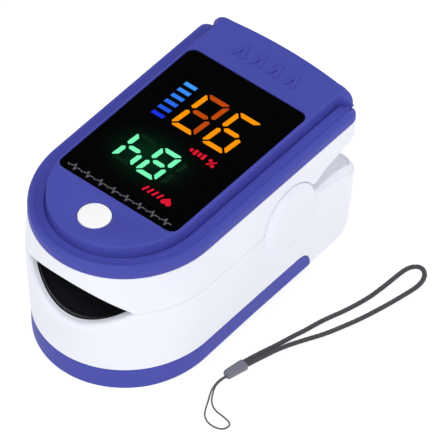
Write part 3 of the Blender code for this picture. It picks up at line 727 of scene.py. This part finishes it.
def slab(name, top, base):
    """Closed solid between a grid of points and a flat base."""
    bottom = top.copy()
    bottom[..., 2] = base
    rows, columns = top.shape[:2]
    offset = rows * columns
    faces = []
    for row in range(rows - 1):
        for first in range(row * columns, (row + 1) * columns - 1):
            quad = (first, first + 1, first + columns + 1, first + columns)
            faces += [quad, tuple(offset + k for k in reversed(quad))]
    border = [*range(columns), *range(2 * columns - 1, offset, columns),
              *range(offset - 2, offset - columns - 1, -1), *range(offset - 2 * columns, 0, -columns)]
    faces += [(first, second, offset + second, offset + first)
              for first, second in zip(border, border[1:] + border[:1])]
    return make_object(name, np.concatenate([top.reshape(-1, 3), bottom.reshape(-1, 3)]), faces, 50)


EDGE_TILT = (0.1, 0.985)


def window_object():
    """Smoked panel; the faces of its rounded edge use the second material, a painted highlight."""
    radius = 1.5
    profile = [(TOP_Z - 1.0, 0.0), (TOP_Z - 0.22, 0.0)]
    profile += [(MARK_Z - 0.16 * (1 - math.sin(t)), 0.16 * (1 - math.cos(t)))
                for t in np.linspace(0.0, math.pi / 2, 6)]
    profile.append((MARK_Z, 0.24))
    rings = []
    for height, inset in profile:
        ring = rounded_rectangle((WINDOW_LOW[0] + inset, WINDOW_HIGH[0] - inset),
                                 (WINDOW_LOW[1] + inset, WINDOW_HIGH[1] - inset), radius - inset, 14)
        rings.append([(x, y, height) for x, y in ring])
    panel = rings_object("window_panel", rings, sharp=40)
    # The rounded edge's faces take the painted highlight: a grey that stands in for the thin reflection along the
    # edge.
    for face in panel.data.polygons:
        if EDGE_TILT[0] < face.normal.z < EDGE_TILT[1]:
            face.material_index = 1
    return panel


def button_object():
    """Button cap with a soft rim, a slight dome and a flange under the cover."""
    profile = [(3.75, 28.5), (3.8, 28.6), (3.8, 29.1), (3.7, 29.2), (2.9, 29.2), (2.86, 29.3), (2.86, 30.75)]
    profile += [(2.86 - 0.42 * (1 - math.cos(t)), 30.75 + 0.36 * math.sin(t))
                for t in np.linspace(0.0, math.pi / 2, 8)[1:]]
    profile += [(2.2, 31.13), (1.6, 31.155), (1.0, 31.17), (0.5, 31.178), (0.12, 31.18)]
    return turned("z", (0.0, BUTTON_Y), profile, 96, "button_cap", 40)


# ---- display marks -------------------------------------------------------------------------------

def plates(name, polygons):
    """Thin plates with these plan outlines, as one object."""
    points, faces = [], []
    for polygon in polygons:
        start = len(points)
        count = len(polygon)
        for level in (MARK_Z - 0.01, MARK_Z + 0.02):
            points += [(x, y, level) for x, y in polygon]
        faces.append(tuple(range(start, start + count)))
        faces.append(tuple(range(start + count, start + 2 * count)))
        for k in range(count):
            after = (k + 1) % count
            faces.append((start + k, start + after, start + count + after, start + count + k))
    return make_object(name, points, faces, 20)


SEGMENT_GAP = 0.3


def segment(kind, width, height, stroke):
    """Outline of one display segment about the digit's centre: u to the reader's right, v up."""
    gap = SEGMENT_GAP
    half_w, half_h, s = width / 2, height / 2, stroke / 2
    if kind in "ad":
        sign = 1 if kind == "a" else -1
        outer, inner = half_w + s * 0.7 - gap, half_w - s - gap
        side = [(outer - 0.25, half_h + s), (outer, half_h + s * 0.55), (inner, half_h - s)]
        return [(-u, sign * v) for u, v in side[1::-1]] + [(u, sign * v) for u, v in side] + [
            (-inner, sign * (half_h - s))]
    if kind == "g":
        end = half_w - gap * 1.6
        return [(-end, 0.0), (-end + s, s), (end - s, s), (end, 0.0), (end - s, -s), (-end + s, -s)]
    sx = 1 if kind in "bc" else -1
    sy = 1 if kind in "bf" else -1
    shape = [(half_w + s, half_h + s * 0.2 - gap), (half_w + s, gap * 2.2), (half_w, gap * 1.1),
             (half_w - s, s + gap), (half_w - s, half_h - s - gap),
             (half_w + s * 0.5, half_h + s * 0.45 - gap)]
    return [(sx * u, sy * v) for u, v in shape]


def digit_segments(centre, kinds, width, height, stroke, slant):
    """Segments in the part layout: the reader stands behind the device, so up is towards the front."""
    polygons = []
    for kind in kinds:
        shape = segment(kind, width, height, stroke)
        polygons.append([(centre[0] - u - slant * v, centre[1] - v) for u, v in shape])
    return polygons


def display_marks():
    """Lit marks and printed marks in the window, each group as its own piece."""
    orange = dict(width=4.15, height=8.4, stroke=0.93, slant=0.078)
    green = dict(width=3.4, height=6.3, stroke=0.88, slant=0.075)
    groups = {}
    groups["digits_orange_bright"] = (digit_segments((5.17, 36.9), "abcdfg", **orange)
                                      + digit_segments((-1.4, 36.85), "abc", **orange), "lit_orange")
    groups["digits_orange_dim"] = (digit_segments((-1.4, 36.85), "defg", **orange), "dim_orange")
    groups["digits_green_bright"] = (digit_segments((0.52, 23.87), "abcdefg", **green)
                                     + digit_segments((-4.6, 23.85), "bcfg", **green), "lit_green")
    groups["digits_green_ghost"] = (digit_segments((-4.6, 23.85), "ade", **green)
                                    + digit_segments((5.65, 23.85), "bc", **green), "ghost_green")
    for k in range(6):
        y = 40.85 - 1.67 * k
        bar = [(-8.13, y - 0.4), (-5.66, y - 0.4), (-5.6, y + 0.4), (-8.07, y + 0.4)]
        groups["level_bar_%d" % (k + 1)] = ([bar], "lit_bar_%d" % k)
    groups["icon_heart"] = ([heart((7.05, 18.1), 1.05)] + pulse_marks(5.55, 18.35), "lit_red")
    groups["icon_percent"] = (percent((7.1, 29.45)) + level_ticks(5.2, 29.65), "lit_red")
    # The printed line's material is grey print with a painted glow.
    groups["printed_pulse_line"] = (pulse_line(), "print_grey_painted_glow")
    for name, (polygons, material) in groups.items():
        piece = plates(name, polygons)
        finish_piece(piece, "upper_jaw", material)


def heart(centre, size):
    """Outline of a small heart."""
    points = []
    for k in range(40):
        t = 2 * math.pi * k / 40
        u = 16 * math.sin(t) ** 3 / 17
        v = (13 * math.cos(t) - 5 * math.cos(2 * t) - 2 * math.cos(3 * t) - math.cos(4 * t)) / 17
        points.append((centre[0] - u * size, centre[1] - v * size))
    return points


def stroke_polygon(path, width):
    """Ribbon of constant width along an open path."""
    path = np.array(path, float)
    tangent = np.gradient(path, axis=0)
    tangent /= np.linalg.norm(tangent, axis=1)[:, None]
    normal = np.stack([-tangent[:, 1], tangent[:, 0]], 1) * width / 2
    return [tuple(p) for p in path + normal] + [tuple(p) for p in (path - normal)[::-1]]


def pulse_marks(x, y):
    """Four short slanted ticks beside the heart."""
    return [stroke_polygon([(x - 1.02 * k + 0.12, y + 0.62), (x - 1.02 * k - 0.3, y - 0.62)], 0.42)
            for k in range(4)]


def percent(centre):
    """A percent sign: a slanted bar and two dots."""
    x, y = centre
    shapes = [stroke_polygon([(x - 0.62, y - 0.72), (x + 0.62, y + 0.72)], 0.32)]
    for u, v in ((0.5, -0.42), (-0.5, 0.42)):
        shapes.append([(x + u + 0.36 * math.cos(t), y + v + 0.36 * math.sin(t))
                       for t in np.linspace(0, 2 * math.pi, 17)[:-1]])
    return shapes


def level_ticks(x, y):
    """A row of short upright ticks beside the percent sign."""
    shapes = []
    for k, height in enumerate((1.25, 0.95, 1.25, 0.7)):
        left, right = x - 0.86 * k - 0.28, x - 0.86 * k + 0.28
        low, high = y + 0.1 - height / 2, y + 0.1 + height / 2
        shapes.append([(left, low), (right, low), (right, high), (left, high)])
    return shapes


BEAT = ((0.0, 0.0), (0.7, 0.0), (0.95, 0.75), (1.3, -0.65), (1.55, 0.0), (2.05, 0.0),
        (2.3, 0.26), (2.55, 0.0))
BEAT_LENGTH = 2.76


def pulse_line():
    """A printed pulse trace along the window's front edge."""
    path = [np.array((10.9 - k * BEAT_LENGTH - u, 14.65 - v)) for k in range(8) for u, v in BEAT]
    pieces = []
    for first, second in zip(path, path[1:]):
        reach = (second - first) / np.linalg.norm(second - first) * 0.06
        pieces.append(stroke_polygon([first - reach, second + reach], 0.2))
    return pieces


# ---- lanyard -------------------------------------------------------------------------------------

LOOP_DIAMETER = 0.75
STRING_DIAMETER = 0.4


def wrist_loop_route():
    """Centre line of the braid: out along one strand, round the end and back."""
    z = LOOP_DIAMETER / 2 + 0.02
    outward = [(21.5, 20.7), (21.93, 22.5), (22.45, 24.35), (23.02, 26.25), (23.58, 28.3), (24.12, 30.45),
               (24.74, 32.6), (25.66, 36.3), (27.11, 40.66), (28.15, 45.0), (28.55, 49.0), (28.7, 52.0),
               (28.9, 53.97)]
    bend = [(29.45, 55.3), (30.45, 56.0), (31.6, 55.65), (32.5, 54.4)]
    back = [(32.8, 52.4), (32.3, 49.2), (31.4, 45.1), (30.33, 41.1), (29.06, 37.4), (27.65, 33.9),
            (26.0, 30.75), (24.68, 28.05), (23.88, 26.0), (23.25, 23.9), (22.73, 22.1), (22.3, 20.6)]
    return [(x, y, z) for x, y in outward + bend + back]


def string_loop_route():
    """Centre line of the string; its returning strand lies over the other at the sleeve."""
    z = STRING_DIAMETER / 2 + 0.02
    outward = [(21.7, 18.2), (21.2, 16.6), (20.98, 15.7), (20.9, 14.65), (21.08, 13.45), (21.38, 12.43),
               (21.8, 11.5), (22.42, 10.35), (23.11, 8.97), (23.88, 7.7), (25.03, 6.84), (26.4, 6.55),
               (27.74, 6.82)]
    bend = [(28.45, 7.5), (28.53, 8.43)]
    back = [(27.97, 8.95), (26.63, 9.25), (25.04, 9.42), (23.75, 9.95), (22.85, 10.75), (22.25, 11.6)]
    crossing = [(21.78, 12.5, z + 0.2), (21.5, 13.3, z + 0.36), (21.38, 14.15, z + 0.41),
                (21.4, 15.05, z + 0.42), (21.56, 15.95, z + 0.42), (22.0, 17.6, z + 0.42)]
    return [(x, y, z) for x, y in outward + bend + back] + crossing


def smooth_path(route, step):
    """Points at an even step along a Catmull-Rom curve through the route."""
    route = np.array(route, float)
    padded = np.concatenate([route[:1], route, route[-1:]])
    dense = []
    for p, q, r, s in zip(padded, padded[1:], padded[2:], padded[3:]):
        for t in np.arange(24) / 24:
            dense.append(0.5 * (2 * q + (r - p) * t + (2 * p - 5 * q + 4 * r - s) * t * t
                                + (3 * q - p - 3 * r + s) * t ** 3))
    dense.append(route[-1])
    dense = np.array(dense)
    travel = np.concatenate([[0.0], np.cumsum(np.linalg.norm(np.diff(dense, axis=0), axis=1))])
    count = max(2, int(round(travel[-1] / step)))
    goals = np.linspace(0.0, travel[-1], count + 1)
    return np.stack([np.interp(goals, travel, dense[:, k]) for k in range(3)], 1), travel[-1]


def braid(name, path, width, thick, around, relief, pitch, strands):
    """Flat braided cord: an oval tube whose surface rises over crossing strands."""
    tangent = np.gradient(path, axis=0)
    tangent /= np.linalg.norm(tangent, axis=1)[:, None]
    up = np.array([0.0, 0.0, 1.0])
    across = np.cross(tangent, up)
    across /= np.linalg.norm(across, axis=1)[:, None]
    lift = np.cross(across, tangent)
    travel = np.concatenate([[0.0], np.cumsum(np.linalg.norm(np.diff(path, axis=0), axis=1))])
    rings = []
    for k in range(len(path)):
        angles = np.arange(around) * 2 * math.pi / around
        first = np.cos(strands * angles + 2 * math.pi * travel[k] / pitch)
        second = np.cos(strands * angles - 2 * math.pi * travel[k] / pitch)
        height = relief * np.maximum(first, second)
        ring = (path[k][None] + across[k][None] * ((width / 2 + height) * np.cos(angles))[:, None]
                + lift[k][None] * ((thick / 2 + height) * np.sin(angles))[:, None])
        rings.append(ring)
    return rings_object(name, rings, sharp=80)


def lanyard():
    """The sleeve, the braided wrist loop and the string loop."""
    sleeve = stand_for(sleeve_object(), "lanyard_sleeve", "lower_jaw", "sleeve")
    loop_path, loop_length = smooth_path(wrist_loop_route(), 0.11)
    loop = stand_for(braid("lanyard_wrist_braid", loop_path, 0.8, 0.6, 28, 0.04, 0.95, 4),
                     "lanyard_wrist_loop", "lower_jaw", "cord")
    string_path, string_length = smooth_path(string_loop_route(), 0.08)
    string = stand_for(braid("lanyard_string", string_path, 0.27, 0.27, 14, 0.015, 0.45, 2),
                       "lanyard_string_loop", "lower_jaw", "cord_fine")


SLEEVE_START = np.array([21.25, 16.25, 0.0])
SLEEVE_ALONG = np.array([0.22, 0.9755, 0.0])
SLEEVE_ACROSS = np.array([0.9755, -0.22, 0.0])
SLEEVE_SECTIONS = ((0.0, 0.36, 0.45), (0.02, 0.6, 0.74), (0.12, 0.76, 0.96), (0.35, 0.85, 1.12),
                   (1.2, 0.88, 1.24), (2.4, 0.92, 1.32), (3.5, 0.96, 1.38), (3.8, 0.96, 1.38),
                   (3.94, 0.92, 1.32), (4.0, 0.82, 1.2), (4.0, 0.62, 0.9))


def sleeve_object():
    """Tapered moulded sleeve that joins the string loop to the wrist loop.

    Each section is (distance along, half width, height).
    """
    angles = np.arange(48) * 2 * math.pi / 48
    wide, tall = (np.copysign(np.abs(wave) ** 0.55, wave) for wave in (np.cos(angles), np.sin(angles)))
    rings = []
    for along, half, height in SLEEVE_SECTIONS:
        middle = height / 2 + 0.03
        if along < 0.1:
            middle = max(middle, 0.5)
        ring = SLEEVE_START + SLEEVE_ALONG * along + wide[:, None] * SLEEVE_ACROSS * half
        ring[:, 2] = middle + height / 2 * tall
        rings.append(ring)
    return rings_object("lanyard_sleeve_moulded", rings, sharp=50)


# ---- materials -----------------------------------------------------------------------------------

MATERIALS = {}


class Nodes:
    """Short hand for building a Principled material's nodes."""

    def __init__(self, name):
        self.material = bpy.data.materials.new(name)
        self.material.use_nodes = True
        self.tree = self.material.node_tree
        self.shader = self.tree.nodes["Principled BSDF"]
        self.place = self.new("ShaderNodeTexCoord").outputs["Object"]

    def feed(self, socket, value):
        """Link a socket to another one, or set its number, vector or colour."""
        if isinstance(value, bpy.types.NodeSocket):
            self.tree.links.new(value, socket)
        elif socket.type == "RGBA":
            socket.default_value = (*value, 1.0)
        else:
            socket.default_value = value

    def new(self, kind, **values):
        node = self.tree.nodes.new(kind)
        for key, value in values.items():
            self.feed(node.inputs[key.replace("_", " ")], value)
        return node

    def noise(self, scale, detail=3.0, roughness=0.5, stretch=None):
        place = self.stretched(stretch) if stretch else self.place
        node = self.new("ShaderNodeTexNoise", Scale=scale, Detail=detail, Roughness=roughness, Vector=place)
        return node.outputs["Fac"]

    def stretched(self, stretch, shift=(0.0, 0.0, 0.0)):
        node = self.new("ShaderNodeMapping", Vector=self.place, Scale=stretch, Location=shift)
        return node.outputs["Vector"]

    def ramp(self, source, low, high, start, end):
        node = self.new("ShaderNodeMapRange", Value=source, From_Min=low, From_Max=high, To_Min=start,
                        To_Max=end)
        return node.outputs["Result"]

    def mix(self, factor, first, second):
        node = self.new("ShaderNodeMix")
        node.data_type = "RGBA"
        for key, value in ((0, factor), (6, first), (7, second)):
            self.feed(node.inputs[key], value)
        return node.outputs[2]

    def math(self, operation, *values):
        node = self.new("ShaderNodeMath")
        node.operation = operation
        for socket, value in zip(node.inputs, values):
            self.feed(socket, value)
        return node.outputs[0]

    def bump(self, height, strength, distance):
        node = self.new("ShaderNodeBump", Height=height, Strength=strength, Distance=distance)
        self.set(Normal=node.outputs["Normal"])

    def set(self, **values):
        for key, value in values.items():
            self.feed(self.shader.inputs[key.replace("_", " ")], value)


def plastic(name, colour, second, roughness, grain, bump=0.12, coat=0.0, specular=0.5):
    """Moulded plastic: faint flow variation, a fine sparked grain and uneven gloss."""
    n = Nodes(name)
    flow = n.ramp(n.noise(55.0, 2.0, 0.4), 0.35, 0.65, 0.0, 1.0)
    gloss = n.ramp(n.noise(260.0, 4.0, 0.6), 0.3, 0.7, roughness - 0.04, roughness + 0.05)
    n.set(Base_Color=n.mix(flow, colour, second), Roughness=gloss, IOR=1.47, Coat_Weight=coat,
          Specular_IOR_Level=specular)
    n.bump(n.noise(grain, 2.0, 0.6), bump, 0.00003)
    return n


def rubber(name, colour, second, roughness):
    """Matt rubber with a faint bloom and a fine grain."""
    n = Nodes(name)
    bloom = n.noise(120.0, 3.0, 0.5)
    n.set(Base_Color=n.mix(n.ramp(bloom, 0.3, 0.7, 0.0, 1.0), colour, second))
    n.set(Roughness=n.ramp(n.noise(600.0, 3.0, 0.6), 0.3, 0.7, roughness - 0.06, roughness + 0.06))
    n.bump(n.noise(5200.0, 2.0, 0.6), 0.25, 0.00004)
    return n


def metal(name, colour, roughness):
    """Drawn metal with fine lines along it."""
    n = Nodes(name)
    lines = n.noise(1.0, 3.0, 0.6, (40.0, 900.0, 900.0))
    n.set(Base_Color=n.mix(n.ramp(lines, 0.3, 0.7, 0.0, 1.0), colour, tuple(c * 0.8 for c in colour)))
    n.set(Metallic=1.0, Roughness=n.ramp(lines, 0.3, 0.7, roughness - 0.08, roughness + 0.08))
    n.bump(lines, 0.15, 0.00002)
    return n


def lit(name, colour, strength, base=(0.002, 0.002, 0.002)):
    """A display mark that gives its own light."""
    n = Nodes(name)
    n.set(Base_Color=base, Roughness=0.35, Specular_IOR_Level=0.02)
    n.set(Emission_Color=colour, Emission_Strength=strength)
    return n


def window_material():
    """Smoked acrylic with a painted glow: a faint haze of green light painted round the lit digits."""
    n = Nodes("smoked_acrylic")
    spread = (110.0, 150.0, 0.0)
    centre = to_frame((-1.6, 23.9, 0.0))
    near = n.stretched(spread, tuple(-float(c) * k for c, k in zip(centre, spread)))
    length = n.new("ShaderNodeVectorMath", Vector=near)
    length.operation = "LENGTH"
    glow = n.ramp(length.outputs["Value"], 0.25, 1.15, 1.0, 0.0)
    haze = n.ramp(n.noise(900.0, 3.0, 0.5), 0.3, 0.7, 0.8, 1.2)
    n.set(Base_Color=(0.0008, 0.0008, 0.001), Specular_IOR_Level=0.022)
    n.set(Roughness=n.ramp(n.noise(70.0, 4.0, 0.6), 0.3, 0.7, 0.05, 0.09))
    # Painted glow: green emission on the acrylic, strongest round the green digits and fading outwards.
    n.set(Emission_Color=(0.0, 0.02, 0.007),
          Emission_Strength=n.math("MULTIPLY", n.math("MULTIPLY", glow, glow), haze))
    return n


def board_material():
    """Green solder mask over a faint weave."""
    n = Nodes("solder_mask")
    weave = n.new("ShaderNodeTexBrick", Vector=n.place, Scale=420.0, Mortar_Size=0.06,
                  Color1=(0.015, 0.13, 0.05), Color2=(0.012, 0.1, 0.04), Mortar=(0.05, 0.24, 0.1))
    n.set(Base_Color=weave.outputs["Color"], Roughness=0.38)
    n.bump(n.noise(1500.0, 2.0, 0.5), 0.1, 0.00003)
    return n


def cell_material():
    """Battery jacket with a coloured band and bare metal ends, by place along the cell."""
    n = Nodes("cell_jacket")
    split = n.new("ShaderNodeSeparateXYZ", Vector=n.place)
    low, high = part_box("battery_left")
    half = (high[1] - low[1]) / 2
    along = n.math("SUBTRACT", split.outputs["Y"], (low[1] + high[1]) / 2)
    right = n.math("GREATER_THAN", split.outputs["X"], 0.0)
    way = n.math("SUBTRACT", 1.0, n.math("MULTIPLY", right, 2.0))
    band = n.math("GREATER_THAN", n.math("MULTIPLY", along, way), half * 0.42)
    bare = n.math("GREATER_THAN", n.math("ABSOLUTE", along), half - 0.0013)
    scuff = n.ramp(n.noise(300.0, 4.0, 0.6), 0.35, 0.7, 0.0, 0.35)
    jacket = n.mix(band, (0.02, 0.03, 0.05), (0.55, 0.28, 0.06))
    worn = n.mix(scuff, jacket, (0.2, 0.2, 0.2))
    n.set(Base_Color=n.mix(bare, worn, (0.6, 0.6, 0.62)), Roughness=0.32, Metallic=bare)
    n.bump(n.noise(700.0, 3.0, 0.5), 0.08, 0.00003)
    return n


def film_material():
    """Flat cable: amber film over parallel copper tracks."""
    n = Nodes("flex_film")
    split = n.new("ShaderNodeSeparateXYZ", Vector=n.place)
    wave = n.math("SINE", n.math("MULTIPLY", split.outputs["X"], 2 * math.pi / 0.0006))
    track = n.ramp(wave, -0.2, 0.2, 0.0, 1.0)
    n.set(Base_Color=n.mix(track, (0.42, 0.19, 0.03), (0.62, 0.3, 0.1)), Roughness=0.3)
    n.bump(track, 0.2, 0.00003)
    return n


def cord_material(name, colour, second):
    """Woven cord: fine strands and a soft sheen."""
    n = Nodes(name)
    strands = n.noise(2600.0, 4.0, 0.65)
    n.set(Base_Color=n.mix(n.ramp(strands, 0.3, 0.7, 0.0, 1.0), colour, second), Roughness=0.78)
    n.set(Sheen_Weight=0.35, Sheen_Roughness=0.4)
    n.bump(strands, 0.5, 0.00006)
    return n


def build_materials():
    made = {
        "white_case": plastic("white_abs", (0.80, 0.812, 0.90), (0.82, 0.832, 0.915), 0.4, 4200.0, 0.06),
        "blue_case": plastic("blue_abs", (0.059, 0.068, 0.375), (0.063, 0.073, 0.39), 0.47, 3600.0, 0.16,
                             specular=0.14),
        "button": plastic("button_abs", (0.93, 0.93, 0.955), (0.94, 0.94, 0.96), 0.36, 3800.0, 0.05),
        "black_resin": plastic("black_resin", (0.012, 0.012, 0.012), (0.02, 0.02, 0.02), 0.5, 3000.0, 0.2),
        "display": plastic("display_epoxy", (0.02, 0.02, 0.024), (0.03, 0.03, 0.034), 0.45, 3000.0),
        "lens": plastic("clear_resin", (0.7, 0.7, 0.66), (0.8, 0.8, 0.76), 0.14, 2000.0, 0.03, 0.6),
        "rubber": rubber("pad_rubber", (0.0095, 0.0105, 0.014), (0.014, 0.015, 0.019), 0.42),
        "sleeve": rubber("sleeve_rubber", (0.13, 0.13, 0.17), (0.155, 0.155, 0.195), 0.38),
        "nickel": metal("nickel_plate", (0.62, 0.61, 0.58), 0.3),
        "steel": metal("spring_steel", (0.56, 0.56, 0.58), 0.28),
        "window": window_material(),
        # Painted highlight: grey on the window's rounded edge stands in for the thin reflection along it.
        "window_edge": plastic("edge_painted_highlight", (0.2, 0.2, 0.24), (0.24, 0.24, 0.28), 0.25, 3000.0, 0.02),
        "board": board_material(),
        "cell": cell_material(),
        "film": film_material(),
        "cord": cord_material("woven_cord", (0.028, 0.026, 0.032), (0.06, 0.056, 0.066)),
        "cord_fine": cord_material("fine_cord", (0.05, 0.048, 0.055), (0.09, 0.085, 0.095)),
        "lit_orange": lit("lit_orange", (1.0, 0.31, 0.0), 1.0),
        "dim_orange": lit("dim_orange", (1.0, 0.13, 0.004), 0.5),
        "lit_green": lit("lit_green", (0.2, 1.0, 0.5), 1.0),
        "ghost_green": lit("ghost_green", (0.02, 0.35, 0.09), 0.045),
        "lit_red": lit("lit_red", (0.8, 0.008, 0.035), 0.9),
        # Grey print with a painted glow: a faint emission brightens the printed line though it gives no light.
        "print_grey_painted_glow": lit("print_grey_painted_glow", (0.2, 0.2, 0.24), 0.12, (0.1, 0.1, 0.12)),
    }
    for k in range(6):
        share = k / 5
        colour = tuple(a + (b - a) * share for a, b in zip((0.045, 0.32, 1.0), (0.008, 0.03, 0.68)))
        made["lit_bar_%d" % k] = lit("lit_bar_%d" % k, colour, 1.0)
    for name, n in made.items():
        MATERIALS[name] = n.material


def finish_piece(piece, body, material):
    piece.data.materials.clear()
    piece.data.materials.append(MATERIALS[material])
    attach(piece, body)
    return piece


def dress_nodes():
    """Give every CAD node the detailed material of its slot."""
    slots = {row["node"]: row["material_slot"] for row in frame["record"]["subparts"]}
    for name, item in frame["nodes"].items():
        item.data.materials.clear()
        item.data.materials.append(MATERIALS[slots[name]])


# ---- scene ---------------------------------------------------------------------------------------

CAMERA_TARGET = (0.007833, 0.002888, 0.015128)
CAMERA_ANGLES = (39.447, 46.586, 0.356)
CAMERA_DISTANCE = 1.22439
CAMERA_LENS = 595.7


def add_camera():
    """A long lens, placed by azimuth, elevation and roll in degrees about its target."""
    azimuth, elevation, roll = (math.radians(angle) for angle in CAMERA_ANGLES)
    back = Vector((math.sin(azimuth) * math.cos(elevation), -math.cos(azimuth) * math.cos(elevation),
                   math.sin(elevation)))
    data = bpy.data.cameras.new("camera")
    data.lens = CAMERA_LENS
    data.sensor_width = 36.0
    data.clip_start = 0.05
    data.clip_end = 30.0
    camera = bpy.data.objects.new("camera", data)
    bpy.context.collection.objects.link(camera)
    camera.location = Vector(CAMERA_TARGET) + back * CAMERA_DISTANCE
    camera.rotation_mode = "QUATERNION"
    camera.rotation_quaternion = Quaternion(back, roll) @ (-back).to_track_quat("-Z", "Y")
    bpy.context.scene.camera = camera


LIGHTS = (("overhead", (-0.10, -0.35, 0.95), 0.7, 4.9), ("front_left", (-0.75, -0.75, 0.45), 0.6, 1.3),
          ("front_right", (0.45, -1.0, 0.45), 0.6, 2.2), ("right", (0.95, -0.1, 0.5), 0.6, 3.65),
          ("behind", (0.15, 1.0, 0.5), 0.5, 3.7))
LIGHT_TARGET = Vector((0.0, 0.0, 0.012))


def add_light(name, place, size, power):
    """A round area light that faces the part."""
    data = bpy.data.lights.new(name, "AREA")
    data.shape = "DISK"
    data.size = size
    data.energy = power
    light = bpy.data.objects.new(name, data)
    bpy.context.collection.objects.link(light)
    light.location = place
    light.rotation_mode = "QUATERNION"
    light.rotation_quaternion = (LIGHT_TARGET - Vector(place)).to_track_quat("-Z", "Y")


def add_stage():
    """Pale floor, even studio surroundings and soft lights."""
    bpy.ops.mesh.primitive_plane_add(size=16.0, location=(0.0, 0.0, 0.0))
    floor = bpy.context.object
    floor.name = "floor"
    n = Nodes("pale_floor")
    n.set(Base_Color=(0.3, 0.3, 0.3), Roughness=0.9, Specular_IOR_Level=0.0)
    n.set(Emission_Color=(1.0, 1.0, 1.0), Emission_Strength=0.8)
    floor.data.materials.append(n.material)
    scene = bpy.context.scene
    scene.world = bpy.data.worlds.new("studio")
    scene.world.use_nodes = True
    sky = scene.world.node_tree.nodes["Background"]
    sky.inputs["Color"].default_value = (1.0, 1.0, 1.0, 1.0)
    sky.inputs["Strength"].default_value = 0.25
    scene.view_settings.view_transform = "Standard"
    scene.view_settings.look = "None"
    for light in LIGHTS:
        add_light(*light)


# ---- assembly ------------------------------------------------------------------------------------

def stand_for(piece, node, body, material):
    """Finish a piece that takes the place of a CAD node."""
    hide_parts(node)
    return finish_piece(piece, body, material)


def build():
    add_camera()
    build_materials()
    dress_nodes()
    lanyard()
    stand_for(upper_shell(), "upper_shell", "upper_jaw", "white_case")
    stand_for(lower_shell(), "lower_shell", "lower_jaw", "white_case")
    stand_for(top_cover(), "top_cover", "upper_jaw", "blue_case")
    stand_for(battery_cover(), "battery_cover", "battery_cover", "blue_case")
    window = stand_for(window_object(), "display_window", "upper_jaw", "window")
    window.data.materials.append(MATERIALS["window_edge"])
    stand_for(button_object(), "power_button", "power_button", "button")
    stand_for(pad_object("pad_lower", 13.0, SEAM_Z - 0.1, 13.62, 1), "lower_pad", "lower_jaw", "rubber")
    stand_for(pad_object("pad_upper", 23.65, SEAM_Z + 0.2, 22.95, -1), "upper_pad", "upper_jaw", "rubber")
    display_marks()
    add_stage()


build()
